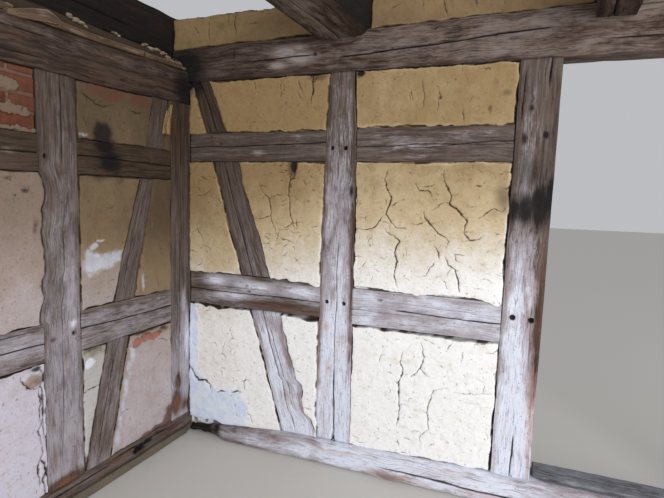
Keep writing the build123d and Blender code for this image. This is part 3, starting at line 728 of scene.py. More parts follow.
# Outer wall's sill: an oak beam on a low footing, which carries the wall's posts and its brace. It is brown
# with rot along its top, and at one place the wood has fallen out and left a hole.
side_depth = 0.2
wall_near_end = -1.85
side_start, side_finish = wall_near_end + 0.002, 0.158
footing_top, side_sill_top = 0.05, 0.14
fitted(
    "grey_oak", "side_wall_sill", outer_wall.lying, (side_start, side_finish), (footing_top, side_sill_top),
    wall_oak, seed=83, back=side_depth, wanes=(1.0, 2.2, 1, 1),
    shakes=[(0, -1.8, -0.6, 0.55, 0.45, 0.0025, 0.012), (0, -0.7, -0.1, 0.7, 0.6, 0.0025, 0.012)],
    pegs=[(0.082, -0.462, 0.022), (0.092, -0.425, 0.021), (0.1, -0.385, 0.016), (0.106, -0.355, 0.01)],
    bites=[(1, -0.39, 0.04, 0.02), (1, -0.15, 0.08, 0.02), (1, -0.6, 0.03, 0.012)], bleach=(0.1, 0.1),
    rust=[(-0.2, 0.1, 0.14, 0.05, 1.3), (-0.95, 0.14, 0.1, 0.03, 1.3), (-0.6, 0.1, 0.25, 0.04, 1.0)],
    soot=[(-0.45, 0.085, 0.06, 0.025, 1.7), (-0.38, 0.1, 0.05, 0.02, 1.5), (-0.3, 0.12, 0.06, 0.015, 0.8)],
)

# Posts, rails and brace of the outer wall: the same oaks, browner and darker towards the room's corner,
# partly from smoke and partly as painted shade. The near bay's rails are halved over the brace; the corner
# post's foot is rotten.
side_post_near, side_post_far = -0.815, -1.02
side_post_left = line(
    (0.92, -1.02), (0.945, -1.034), (0.985, -1.03), (1.02, -1.019), (1.05, -1.009), (1.1, -1.018),
    (1.13, -1.015), (1.16, -0.996), (1.27, -1.002), (1.34, -1.01), (1.4, -1.0), (1.44, -1.007),
    (1.48, -0.993), (1.53, -0.99), (1.57, -1.0), (1.6, -1.016), (1.63, -1.03), (1.7, -1.02),
)
side_end_near = -1.65
corner_post_face = -0.17
plate_bottom = line((-0.65, 2.03), (-0.3, 2.042), (0.0, 2.052))
side_brace_far = line((0.14, -0.807), (1.17, -0.551), (1.6, -0.408), (2.03, -0.312))
side_brace_near = line((0.14, -0.651), (1.17, -0.412), (1.6, -0.306), (1.765, -0.225), (2.03, -0.186))
side_rail_high = (1.6, 1.765)
side_rail_low = (0.755, 0.955)
outer_rail_low = (0.755, 0.933)
side_uprights = {
    "corner_post": dict(
        edges=(corner_post_face, -0.001), seed=91,
        shakes=[(0, 0.3, 1.3, 0.45, 0.5, 0.002, 0.01), (0, 1.2, 2.05, 0.6, 0.55, 0.0018, 0.008)],
        bites=[(0, 0.22, 0.06, 0.035), (0, 0.34, 0.04, 0.02), (0, 1.99, 0.05, 0.03), (1, 0.18, 0.05, 0.02)],
        bleach=(1.1, -0.95), smoked=1.6,
        rust=[
            (-0.12, 0.23, 0.05, 0.08, 2.3), (-0.11, 0.36, 0.03, 0.06, 1.7), (-0.06, 0.2, 0.05, 0.05, 1.5),
            (-0.08, 1.7, 0.1, 0.6, 0.6),
        ],
        pale=[(-0.02, 0.64, 0.03, 0.17, 0.8), (-0.05, 0.86, 0.02, 0.1, 0.5)],
        soot=[(-0.13, 0.3, 0.02, 0.03, 0.8), (-0.11, 0.4, 0.015, 0.02, 0.8)],
    ),
    "side_post": dict(
        edges=(side_post_left, side_post_near), seed=97,
        shakes=[(0, 1.6, 2.05, 0.62, 0.6, 0.003, 0.014), (0, 0.3, 1.4, 0.45, 0.55, 0.0016, 0.007)],
        pegs=[(-0.983, 1.671, peg), (-0.857, 0.853, peg)], bleach=(0.74, 0.14), smoked=1.1,
        rust=[(-0.93, 0.14, 0.12, 0.035, 2.4), (-0.98, 0.28, 0.03, 0.1, 0.6), (-0.92, 0.5, 0.2, 0.5, 0.15)],
        pale=[(-0.86, 0.9, 0.02, 0.02, 0.7), (-0.86, 1.15, 0.04, 0.35, 0.18)],
        soot=[(-0.97, 0.848, 0.02, 0.015, 0.9), (-0.91, 1.86, 0.01, 0.012, 0.9)],
    ),
    "side_end_post": dict(
        edges=(side_start, side_end_near), seed=101, shakes=[(0, 0.3, 1.9, 0.4, 0.5, 0.002, 0.01)],
        bleach=(0.35, 0.15), joined=(1,),
    ),
    "cross_wall_end_post": dict(edges=(0.001, 0.158), seed=103, bleach=(0.3, 0.1), joined=(3,)),
    "side_wall_brace": dict(
        edges=(side_brace_far, side_brace_near), seed=107,
        front=passing_under(side_rail_low, side_rail_high),
        shakes=[(0, 0.15, 0.75, 0.4, 0.45, 0.0024, 0.012), (0, 0.96, 1.6, 0.3, 0.4, 0.002, 0.009)],
        bites=[(1, 0.5, 0.04, 0.012), (0, 1.2, 0.05, 0.01)], bleach=(0.55, -0.3),
        rust=[(-0.7, 0.25, 0.05, 0.15, 0.4)],
    ),
}
head_places = {"corner_post": -0.08, "cross_wall_end_post": 0.0, "side_wall_brace": -0.25}
for post_name, post in side_uprights.items():
    head = float(plate_bottom(head_places.get(post_name, -1.0))) + 0.003
    look = {"joined": (1, 3), "lively": 0.5, "back": side_depth - 0.001, **post}
    fitted("grey_oak", post_name, outer_wall.upright, (0.128, head), finish=wall_oak, **look)

smoke = [(-0.65, 1.74, 0.075, 0.05, 1.5), (-0.618, 1.67, 0.075, 0.06, 1.7), (-0.59, 1.62, 0.07, 0.03, 0.9)]
side_rails = {
    "near_upper_rail": dict(edges=side_rail_high, seed=109, soot=smoke),
    "near_lower_rail": dict(edges=side_rail_low, seed=113),
    "outer_upper_rail": dict(
        edges=side_rail_high, seed=127, pale=[(-1.15, 1.68, 0.06, 0.03, 0.8)],
        soot=[(-1.12, 1.72, 0.15, 0.02, 0.6)],
    ),
    "outer_lower_rail": dict(
        edges=outer_rail_low, seed=131, pale=[(-1.15, 0.85, 0.25, 0.08, 0.22)],
        rust=[(-1.2, 0.8, 0.3, 0.04, 0.5)],
    ),
}
near_bay, outer_bay = (side_post_near, corner_post_face), (side_end_near, side_post_far)
for rail_name, rail in side_rails.items():
    start, end = near_bay if rail_name.startswith("near") else outer_bay
    shakes = [(0, start - 0.1, end + 0.1, 0.55, 0.48, 0.0022, 0.01)]
    look = dict(back=side_depth, shakes=shakes, joined=(1, 3), bleach=(1.2, -0.75), smoked=2.4, lively=0.55)
    span = (start - 0.004, end + 0.004)
    fitted("grey_oak", rail_name, outer_wall.lying, span, finish=wall_oak, **look, **rail)

# Two plates on the outer wall's posts, and the joist along the wall over them, let down onto the upper one
# behind the clay bed: oak painted darker under the ceiling, partly for smoke and partly as painted shade.
# The plates rise a little towards the corner.
plate_top = 2.235
plate_middle = line((-0.65, 2.136), (0.0, 2.156))
plate_bedded = line((-0.65, 2.144), (0.0, 2.164))
plate_upper = line((-0.65, plate_top), (0.0, plate_top + 0.02))
for plate_name, low, high, set_back, bare, seed in (
    ("lower_plate", plate_bottom, plate_bedded, 0.0, -0.06, 137),
    ("upper_plate", plate_middle, plate_upper, 0.012, 0.32, 139),
):
    fitted(
        "dark_oak", plate_name, outer_wall.lying, (side_start, side_finish), (low, high), dark_oak,
        seed=seed, front=set_back, back=side_depth, wanes=(1.4, 1.8, 1, 1),
        shakes=[(0, -1.8, -0.9, 0.35, 0.45, 0.0016, 0.006)], bleach=(bare, bare), smoked=0.6, lively=0.7,
        # The soot dab by the corner is partly soot and partly painted shade in the room's corner.
        soot=[(-0.03, 2.13, 0.12, 0.12, 1.4)], pale=[(-0.9, 2.13, 0.15, 0.02, 0.5)],
    )

ceiling = 2.585
joist_end = 0.41
fitted(
    "dark_oak", "side_joist", outer_wall.lying, (side_start, joist_end - 0.002),
    (line((-0.65, plate_top + 0.016), (0.0, plate_top + 0.036), (0.004, plate_top + 0.014)), ceiling),
    dark_oak, seed=149, front=0.133, back=0.253,
    shakes=[(0, -1.6, -0.3, 0.6, 0.5, 0.003, 0.012), (0, -0.9, 0.2, 0.25, 0.3, 0.002, 0.01)],
    # The soot dab over the whole joist and its heavy smoked share paint the shadow it lies in under the
    # ceiling.
    bleach=(-0.3, -0.3), smoked=1.6, soot=[(-0.5, 2.4, 3.0, 0.5, 1.05)],
)

# Girt of the cross wall: the deep beam over the posts, let down over the outer wall's plates. A long shake
# runs up its right half, and a chalky patch is left on its face.
wall_end = 3.2
girt_start = -0.133
girt_low = line((girt_start, plate_top), (-0.006, plate_top), (0.0, girt_bottom), (wall_end, girt_bottom))
girt_top = line((girt_start, 2.385), (wall_end, 2.423))
fitted(
    "dark_oak", "girt", cross_wall.lying, (girt_start + 0.002, wall_end - 0.002), (girt_low, girt_top),
    dark_oak, seed=151, wanes=(1.5, 2.0, 1, 1),
    shakes=[
        (0, 0.92, 2.05, 0.36, 0.64, 0.0026, 0.014), (0, 0.36, 0.86, 0.43, 0.5, 0.002, 0.01),
        (0, 2.2, 3.1, 0.3, 0.2, 0.002, 0.01), (0, 0.05, 0.5, 0.65, 0.7, 0.0016, 0.006),
    ],
    bleach=line((0.0, 0.22), (0.6, 0.34), (1.3, 0.52), (2.2, 0.6), (3.2, 0.5)), smoked=0.55, lively=0.8,
    pale=[
        (0.64, 2.315, 0.07, 0.03, 1.5), (0.74, 2.275, 0.07, 0.028, 1.6), (0.6, 2.245, 0.05, 0.02, 1.1),
        (0.72, 2.33, 0.05, 0.02, 0.9),
    ],
    # The broad soot dab at the girt's left end is partly soot and partly painted shade in the room's corner.
    soot=[
        (0.313, 2.328, 0.01, 0.03, 1.2), (0.824, 2.29, 0.016, 0.012, 1.3), (-0.04, 2.26, 0.17, 0.16, 1.5),
        (0.6, 2.31, 0.02, 0.008, 0.8),
    ],
    rust=[(1.3, 2.24, 0.35, 0.04, 0.45), (2.4, 2.3, 0.4, 0.08, 0.4)],
)

# Joists over the cross wall: their ends are cut off in front of it and behind it. The middle one keeps the
# round of its log along one side, painted black there as that side's shade; the right one is squared.
joist_front = -0.65
mid_joist_left, mid_joist_right = 0.84, 1.13
right_joist_left, right_joist_right = 2.17, 2.335
# The soot dab on the log's side is painted shade on the joist's shaded side.
log_side = {"soot": [(1.165, 2.48, 0.062, 0.3, 2.0)], "pale": [(0.95, 2.36, 0.09, 0.06, 0.45)]}
for joist_name, low, high, underside, wanes, seed, marks in (
    ("mid_joist", mid_joist_left, mid_joist_right, 2.358, (1.6, 9.0, 2.0, 1.5), 157, log_side),
    ("right_joist", right_joist_left, right_joist_right, 2.34, (1.5, 1.5, 1, 1), 163, {}),
):
    fitted(
        "dark_oak", joist_name, cross_wall.through, (joist_front + 0.002, joist_end - 0.002), (low, high),
        dark_oak, seed=seed, front=underside, back=ceiling, wanes=wanes,
        shakes=[(0, -0.7, 0.3, 0.35, 0.45, 0.003, 0.014), (3, -0.6, 0.1, 0.5, 0.45, 0.0024, 0.012)],
        bleach=(0.22, 0.22), pitch=(0.004, 0.006, 0.014, 0.006), arc=7, **marks,
    )

# Clay panels of the cross wall: daub on staves, trowelled flush with the timbers and washed with ochre. It
# has shrunk from the timbers and cracked; its edges are ragged and lap over the arrises here and there.
LIP = np.array([-0.014, -0.007, -0.002, 0.0, 0.002, 0.005, 0.009, 0.014, 0.021])
JOINT_DEPTH = 0.028


def bay_lines(size, pitch):
    """Grid lines across a bay, close together by its two edges: a share of the bay and an offset each."""
    inner = max(3, int((size - 2 * LIP[-1]) / pitch))
    part = np.arange(1, inner) / inner
    share = np.concatenate([np.zeros(len(LIP)), part, np.ones(len(LIP))])
    offset = np.concatenate([LIP, LIP[-1] * (1 - 2 * part), -LIP[::-1]])
    return share, offset


def bay_grid(left, right, bottom, top, pitch):
    """Grid over a bay whose four edges are numbers or lines: how far along and how high its points are, and
    how far each is inside the left, the right, the bottom and the top edge."""
    middle_height = np.mean(level(bottom, np.zeros(1)) + level(top, np.zeros(1))) / 2
    wide = float(level(right, middle_height) - level(left, middle_height))
    tall = float(np.mean(level(top, np.zeros(1)) - level(bottom, level(left, middle_height))))
    share_u, offset_u = bay_lines(wide, pitch)
    share_v, offset_v = bay_lines(tall, pitch)
    guess = level(left, middle_height) + share_u * wide
    low, high = level(bottom, guess)[None, :], level(top, guess)[None, :]
    squeeze = np.minimum(1.0, (high - low) / 0.08)
    height = low + share_v[:, None] * (high - low) + offset_v[:, None] * squeeze
    from_left, from_right = level(left, height), level(right, height)
    squeeze = np.clip((from_right - from_left) / 0.08, 0.05, 1.0)
    along = from_left + share_u[None, :] * (from_right - from_left) + offset_u[None, :] * squeeze
    return along, height, (along - from_left, from_right - along, height - low, high - height)


def back_rings(rim_along, rim_height, thickness, pitch, seed):
    """Rings of points from a panel's boundary over its back to the middle point: each ring's places along,
    its heights and its depths. A ring lies so far inwards on the way to the middle, or a share of it."""
    centre_along, centre_height = rim_along.mean(), rim_height.mean()
    reach = np.hypot(rim_along - centre_along, rim_height - centre_height)
    travel = np.arange(len(rim_along)) * pitch
    rag = 0.006 * uneven(travel, 0.0, 0.03, 1.0, seed + 5)
    back_face = thickness - 0.003
    ring_places = [(0.0 * rag, thickness - JOINT_DEPTH), (0.012 + rag, thickness - JOINT_DEPTH)]
    ring_places += [(0.016 + rag, back_face - 0.003), (0.026 + rag, back_face)]
    ring_places += [(part * reach, back_face) for part in (0.25, 0.45, 0.62, 0.8, 0.92)]
    rings = []
    for inward, ring_back in ring_places:
        part = np.minimum(inward / reach, 0.96)
        ring_along = rim_along + (centre_along - rim_along) * part
        ring_height = rim_height + (centre_height - rim_height) * part
        hollow = uneven(ring_along, ring_height, 0.09, 0.08, seed + 6)
        rings.append((ring_along, ring_height, ring_back - 0.004 * (0.5 + hollow)))
    rings.append(([centre_along], [centre_height], [back_face - 0.002]))
    return rings


def infill(
    name, wall, left, right, bottom, top, finish, seed, thickness, relief, gaps,
    ragged=(0.005, 0.005, 0.005, 0.005), proud=0.002, pitch=0.0052, set_back=0.0, laps=(), shadows=(),
):
    """A bay's panel. Its front is a height field over the bay: the edge lines are shifted by uneven amounts
    that fade as exp(-(d/30 mm)²), the surface drops into the joint outside them, and the relief adds what
    the face has. The back is rings of points that shrink from the same boundary to the middle. gaps and
    ragged say how far the left, right, bottom and top edges stand back and wander. A lap draws an edge in
    at a place, or pushes it over its timber if it is negative, and a shadow darkens a strip along it."""
    along, height, to_edges = bay_grid(left, right, bottom, top, pitch)
    inside = np.minimum.reduce(to_edges)

    def lap(run, k):
        total = np.zeros(inside.shape)
        for edge, place, reach, size in laps:
            if edge == k:
                held = np.clip((to_edges[k] - LIP[0]) / 0.01, 0, 1) if size > 0 else 1.0
                near = np.exp(-(((run - place) / reach) ** 2) - (np.maximum(to_edges[k], 0) / 0.07) ** 2)
                total = total + size * near * held
        return total

    def edge_shift(run, k):
        broad = layered(run, k, seed, (1.9, 0.075, 1.0, 3), (0.9, 0.027, 1.0, 4), (0.5, 0.012, 1.0, 8))
        shift = (gaps[k] + ragged[k] * broad) * np.exp(-((np.maximum(to_edges[k], 0) / 0.03) ** 2))
        return shift + lap(run, k)

    raised = sum(np.minimum(lap(height if k < 2 else along, k), 0.0) for k in range(4))
    along = along + edge_shift(height, 0) - edge_shift(height, 1)
    height = height + edge_shift(along, 2) - edge_shift(along, 3)
    along, height, sunk, tones = relief(along, height, inside)
    swell = 0.0035
    trowelled = uneven(along, height, 0.11, 0.09, seed), uneven(along, height, 0.035, 0.028, seed + 1)
    surface = swell * (1.0 - trowelled[0] - 0.6 * trowelled[1])
    surface = surface - proud - swell + swell * np.exp(-np.maximum(inside, 0) / 0.006) + sunk
    surface = surface + 0.18 * raised
    into_joint = smooth((inside + 0.002) / 0.004)
    depth = JOINT_DEPTH + (surface - JOINT_DEPTH) * into_joint
    grid_along, grid_height = along, height
    rows, columns = along.shape
    count = rows * columns
    index = np.arange(count).reshape(rows, columns)
    rim = np.concatenate([index[0, :-1], index[:-1, -1], index[-1, :0:-1], index[:0:-1, 0]])

    rings = back_rings(along.ravel()[rim], height.ravel()[rim], thickness, pitch, seed)
    ring_along, ring_height, ring_depth = zip(*rings)
    ring_index = count + np.arange((len(rings) - 1) * len(rim)).reshape(-1, len(rim))
    ring_index = np.concatenate([rim[None, :], ring_index])
    quads = np.concatenate([cells(index), tube(ring_index)[:, ::-1]])
    along = np.concatenate([along.ravel(), *ring_along])
    height = np.concatenate([height.ravel(), *ring_height])
    depth = np.concatenate([depth.ravel(), *ring_depth])
    fans = cap(ring_index[-1], len(along) - 1)
    back_count = len(along) - count
    broken = smooth(0.5 + 2.2 * uneven(grid_along, grid_height, 0.028, 0.028, seed + 7))
    # Painted shade along the panel's edges where it meets the timbers, with some dirt.
    rim_tone = np.concatenate([((1 - smooth(inside / 0.007)) * broken).ravel(), np.zeros(back_count)])
    for k, wide_shadow in shadows:
        shadow = 1 - smooth((to_edges[k] - 0.5 * wide_shadow) / (0.5 * wide_shadow))
        tones["crack"] = np.maximum(tones["crack"], shadow * (0.55 + 0.45 * broken))
    tones = {key: np.concatenate([np.ravel(values), np.zeros(back_count)]) for key, values in tones.items()}
    tones["rim"] = rim_tone
    tones["pale"][count:] = 0.5
    flat = np.stack([along, height], -1)
    points = wall.at(along, height, depth + set_back)
    return closed_mesh(name, points, quads, fans, flat, tones, finish)


def cracked(along, height, cracks, seed):
    """Cracks in a face: a width with a depth and then the points of the line, for each. The grid's points
    near the line are drawn in to it, a distance x becoming R(x/R) to the power 1.8, and the crack is its
    depth times exp(-(x/width)²), thinner towards its ends. Its dark tone is painted shade in the crack."""
    reach = 0.0095
    sunk, dark = np.zeros(along.shape), np.zeros(along.shape)

    def wander(broad, narrow):
        return layered(along, height, seed, (0.008, 0.026, 0.026, broad), (0.006, 0.0095, 0.0095, narrow))

    wander_along, wander_height = wander(41, 38), wander(42, 39)
    for (width, depth), *points in cracks:
        points = np.array(points, float)
        lengths = np.hypot(*np.diff(points, axis=0).T)
        total = lengths.sum()
        best = np.full(along.shape, 1.0)
        near_along, near_height, travelled = along.copy(), height.copy(), np.zeros(along.shape)
        done = 0.0
        for (a0, h0), (a1, h1), size in zip(points[:-1], points[1:], lengths):
            x, y = along + wander_along - a0, height + wander_height - h0
            part = np.clip((x * (a1 - a0) + y * (h1 - h0)) / size**2, 0, 1)
            miss_along, miss_height = x - part * (a1 - a0), y - part * (h1 - h0)
            far = np.hypot(miss_along, miss_height)
            closer = far < best
            best = np.where(closer, far, best)
            near_along = np.where(closer, along - miss_along, near_along)
            near_height = np.where(closer, height - miss_height, near_height)
            travelled = np.where(closer, (done + part * size) / total, travelled)
            done += size
        drawn = np.where(best < reach, (np.maximum(best, 1e-6) / reach) ** 0.8, 1.0)
        along = near_along + (along - near_along) * drawn
        height = near_height + (height - near_height) * drawn
        apart = best * drawn
        thin = 0.35 + 0.65 * np.sqrt(np.clip(np.sin(math.pi * travelled), 0, 1))
        mouth = width * thin * (1.15 + 1.6 * uneven(along, height, 0.024, 0.024, seed + 43))
        sunk = np.maximum(sunk, depth * thin * np.exp(-((apart / mouth) ** 2)))
        # Painted shade in the crack, a little wider than its mouth.
        shadow = np.exp(-((apart / (1.15 * mouth)) ** 2))
        dark = np.maximum(dark, thin * min(1.0, 0.35 + depth / 0.011) * shadow)
    return along, height, sunk, dark


def crazing(rng, box, count, level_share=0.65):
    """Short fine cracks: walks of two to four steps from random places, a share of them near level and the
    others near upright."""
    left, right, bottom, top = box
    lean = 0.35
    cracks = []
    for _ in range(count):
        heading = rng.normal(0.0, lean) if rng.random() < level_share else rng.normal(math.pi / 2, lean)
        point = np.array([rng.uniform(left, right), rng.uniform(bottom, top)])
        points = [point]
        for _ in range(rng.integers(2, 5)):
            heading += rng.normal(0.0, 0.45)
            point = point + rng.uniform(0.01, 0.026) * np.array([math.cos(heading), math.sin(heading)])
            points.append(point)
        cracks.append(((rng.uniform(0.001, 0.0019), rng.uniform(0.0012, 0.0045)), *points))
    return cracks


def washed_clay(
    name, *colours, dabbed=((222, 232, 255), (238, 246, 255)), edge=(0.38, 0.66), mottling=0.38
):
    """Washed clay or plaster in three colours, from the deep one to the chalky one as its pale tone rises,
    with trowel marks, pits, mottling, dirt and painted shade at the edges, painted shade in the cracks, and
    dabs of a pale wash or cement. Where the brick tone is high it shows brick and mortar instead."""
    golden, cream, chalk = (shade(*colour) for colour in colours)
    material, shader, place = new_finish(name, 0.93)
    clouds = place.noise(3.2, 5.0, 0.6)
    blotches = place.noise(11.0, 5.0, 0.62)
    trowel = place.scaled(9.0, 9.0, 42.0).noise(1.0, 4.0, 0.6)
    grains = place.noise(170.0, 4.0, 0.7)
    pits = place.noise(62.0, 3.0, 0.55)
    mottle = place.noise(34.0, 5.0, 0.72)
    specks = place.noise(105.0, 3.0, 0.6)
    pale = attribute(place, "pale") + (clouds - 0.5) * 0.55 + (blotches - 0.5) * 0.35 + (mottle - 0.5) * 0.5
    colour = blend(pale.fade(-0.05, 0.6), golden, cream)
    colour = blend(pale.fade(0.45, 1.1), colour, chalk)
    colour = tinted(blotches.fade(0.54, 0.8) * 0.45, colour, 228, 212, 184)
    colour = tinted(trowel.fade(0.55, 0.8) * 0.45, colour, 230, 216, 192)
    colour = tinted(mottle.fade(0.52, 0.66) * mottling, colour, 228, 214, 194)
    colour = tinted(specks.fade(0.61, 0.69) * 0.3, colour, 172, 146, 116)
    colour = tinted(pits.fade(0.64, 0.72) * 0.6, colour, 150, 124, 96)
    red = place.noise(26.0, 4.0, 0.6)
    brick = blend(red.fade(0.35, 0.7), shade(76, 38, 26), shade(110, 60, 40))
    brick = coated((attribute(place, "brick") - 0.9).fade(0.0, 0.35) * 0.5, brick, 132, 84, 66)
    brick = coated(attribute(place, "pale").fade(0.25, 0.75), brick, 178, 122, 108)
    colour = blend(attribute(place, "brick").fade(0.35, 0.65), colour, brick)
    colour = coated(attribute(place, "mortar").fade(0.2, 0.8) * 0.55, colour, 104, 76, 62)
    patch = attribute(place, "patch") + (blotches - 0.5) * 0.6 + (pits - 0.5) * 0.5 + (grains - 0.5) * 0.4
    cement = blend(blotches.fade(0.35, 0.65), shade(*dabbed[0]), shade(*dabbed[1]))
    colour = blend(patch.fade(*edge), colour, cement)
    # Stains: real dirt, and painted shade under rails, under the ceiling and in the room's corner.
    dirt_and_shade = attribute(place, "stain") + (blotches - 0.5) * 0.6
    colour = coated(dirt_and_shade.fade(0.2, 0.9) * 0.75, colour, 92, 74, 58)
    # Soot: real smoke, and painted shade under the rails and in the room's corner.
    soot_and_shade_share = attribute(place, "soot") + (blotches - 0.5) * 1.1 + (mottle - 0.5) * 1.1
    colour = coated(soot_and_shade_share.fade(0.25, 1.15) * 0.92, colour, 30, 26, 24)
    reddish = attribute(place, "red") + (mottle - 0.5) * 0.8
    colour = coated(reddish.fade(0.3, 0.9) * 0.85, colour, 100, 68, 52)
    # Rim: dark along the panel's edges, partly dirt and partly painted shade where it meets the timbers.
    colour = coated(attribute(place, "rim").fade(0.15, 1.0) * 0.85, colour, 84, 66, 52)
    # Crack tone: painted shade in the cracks, in the shadow strips along edges and in hollows of rough
    # mortar.
    colour = coated(attribute(place, "crack").fade(0.12, 0.85) * 0.95, colour, 58, 42, 30)
    finished(shader, colour, grains * 0.35 + pits * 0.6 + trowel * 0.5 + blotches * 0.7, 0.75, 0.005)
    return material


# From golden high up to white low down: partly the wash's colour, partly painted light.
ochre_clay = washed_clay("ochre_clay", (152, 127, 90), (206, 187, 152), (255, 255, 255))

# Width and depth of the usual cracks
HAIRLINE, THIN, OPEN, WIDE = (0.0014, 0.005), (0.0016, 0.006), (0.0018, 0.007), (0.0024, 0.01)
panel_cracks = {
    "middle_right_panel": [
        (
            (0.003, 0.012), (1.25, 1.67), (1.24, 1.62), (1.26, 1.57), (1.28, 1.53), (1.27, 1.49),
            (1.25, 1.45), (1.28, 1.41), (1.31, 1.38), (1.36, 1.37),
        ),
        (THIN, (1.25, 1.45), (1.22, 1.41), (1.19, 1.37), (1.15, 1.36), (1.1, 1.36)),
        (HAIRLINE, (1.28, 1.49), (1.32, 1.51)),
        (
            (0.0026, 0.011), (1.25, 1.36), (1.29, 1.34), (1.33, 1.31), (1.31, 1.25), (1.32, 1.2),
            (1.31, 1.14), (1.33, 1.06),
        ),
        (OPEN, (1.4, 1.61), (1.43, 1.57), (1.47, 1.57), (1.49, 1.54)),
        (
            WIDE, (1.54, 1.68), (1.55, 1.63), (1.59, 1.54), (1.58, 1.51), (1.62, 1.48), (1.67, 1.42),
            (1.66, 1.37), (1.69, 1.33), (1.73, 1.34), (1.76, 1.36),
        ),
        (HAIRLINE, (1.58, 1.52), (1.53, 1.5), (1.49, 1.47)),
        (
            WIDE, (1.45, 1.47), (1.47, 1.42), (1.5, 1.39), (1.53, 1.36), (1.57, 1.34), (1.59, 1.32),
            (1.57, 1.28),
        ),
        (HAIRLINE, (1.61, 1.26), (1.67, 1.26)), (HAIRLINE, (1.62, 1.26), (1.63, 1.22)),
        (HAIRLINE, (1.47, 1.42), (1.44, 1.4), (1.4, 1.39)), (HAIRLINE, (1.49, 1.4), (1.54, 1.42)),
        (OPEN, (1.51, 1.3), (1.54, 1.26), (1.54, 1.22)),
        ((0.0018, 0.006), (1.52, 1.21), (1.49, 1.17), (1.48, 1.13)),
        (WIDE, (1.57, 1.24), (1.59, 1.2), (1.62, 1.18), (1.64, 1.14), (1.65, 1.06)),
        (THIN, (1.72, 1.44), (1.79, 1.49), (1.84, 1.48)),
    ],
    "middle_left_panel": [
        (THIN, (0.49, 1.6), (0.51, 1.55), (0.56, 1.5), (0.57, 1.4), (0.6, 1.32)),
        (HAIRLINE, (0.56, 1.5), (0.62, 1.54)), (THIN, (0.46, 1.39), (0.52, 1.39), (0.57, 1.41)),
        ((0.0022, 0.009), (0.7, 1.7), (0.68, 1.56), (0.69, 1.43), (0.71, 1.37), (0.77, 1.38)),
        (HAIRLINE, (0.71, 1.37), (0.65, 1.34)), ((0.0016, 0.005), (0.62, 1.33), (0.62, 1.29), (0.6, 1.25)),
        (HAIRLINE, (0.62, 1.29), (0.72, 1.26)),
    ],
    "lower_right_panel": [
        (
            WIDE, (1.38, 0.73), (1.36, 0.66), (1.38, 0.62), (1.36, 0.56), (1.36, 0.48), (1.37, 0.41),
            (1.36, 0.3),
        ),
        (OPEN, (1.47, 0.79), (1.49, 0.7), (1.47, 0.64), (1.42, 0.58)),
        (HAIRLINE, (1.47, 0.64), (1.52, 0.6)),
        (THIN, (1.62, 0.56), (1.55, 0.54), (1.52, 0.44), (1.53, 0.32), (1.49, 0.28), (1.49, 0.2)),
        ((0.0012, 0.004), (1.64, 0.54), (1.75, 0.55), (1.85, 0.57)),
    ],
    "lower_corner_panel": [
        (
            (0.0034, 0.012), (0.0, 0.43), (0.026, 0.407), (0.067, 0.349), (0.119, 0.358), (0.16, 0.334),
            (0.16, 0.285),
        ),
        ((0.0018, 0.008), (0.211, 0.294), (0.239, 0.313), (0.273, 0.305)),
        ((0.003, 0.012), (0.315, 0.312), (0.328, 0.314), (0.35, 0.325), (0.383, 0.321)),
        (HAIRLINE, (0.328, 0.402), (0.325, 0.377)),
        (HAIRLINE, (0.42, 0.426), (0.399, 0.385), (0.404, 0.342)),
        (OPEN, (0.422, 0.2), (0.455, 0.187), (0.45, 0.171), (0.466, 0.141)),
        (THIN, (0.26, 0.62), (0.24, 0.55), (0.28, 0.52)),
        (HAIRLINE, (0.14, 0.6), (0.19, 0.61), (0.21, 0.58)),
    ],
    "upper_left_panel": [
        ((0.0036, 0.014), (0.815, 2.19), (0.812, 2.14), (0.815, 2.1), (0.805, 2.03)),
        (HAIRLINE, (0.815, 2.13), (0.845, 2.17)), (HAIRLINE, (0.45, 2.17), (0.46, 2.12)),
    ],
    "upper_right_panel": [
        (THIN, (1.41, 2.12), (1.43, 2.05), (1.42, 1.97)), (HAIRLINE, (1.62, 1.98), (1.63, 1.92)),
        ((0.0012, 0.004), (1.36, 2.08), (1.37, 2.02)),
    ],
    "middle_corner_panel": [(HAIRLINE, (0.03, 1.5), (0.12, 1.52), (0.16, 1.56))],
}
fine_cracks = {
    "middle_right_panel": 46, "lower_right_panel": 40, "middle_left_panel": 26, "lower_corner_panel": 22,
    "lower_left_panel": 8, "upper_right_panel": 14, "upper_left_panel": 12, "middle_corner_panel": 8,
    "upper_corner_panel": 2,
}
cement_patch = [
    (0.03, 0.26, 0.11, 0.16, 1.5), (0.16, 0.19, 0.15, 0.13, 1.5), (0.31, 0.215, 0.13, 0.11, 1.5),
    (0.36, 0.13, 0.08, 0.08, 1.2), (0.03, 0.62, 0.042, 0.26, 1.4),
]
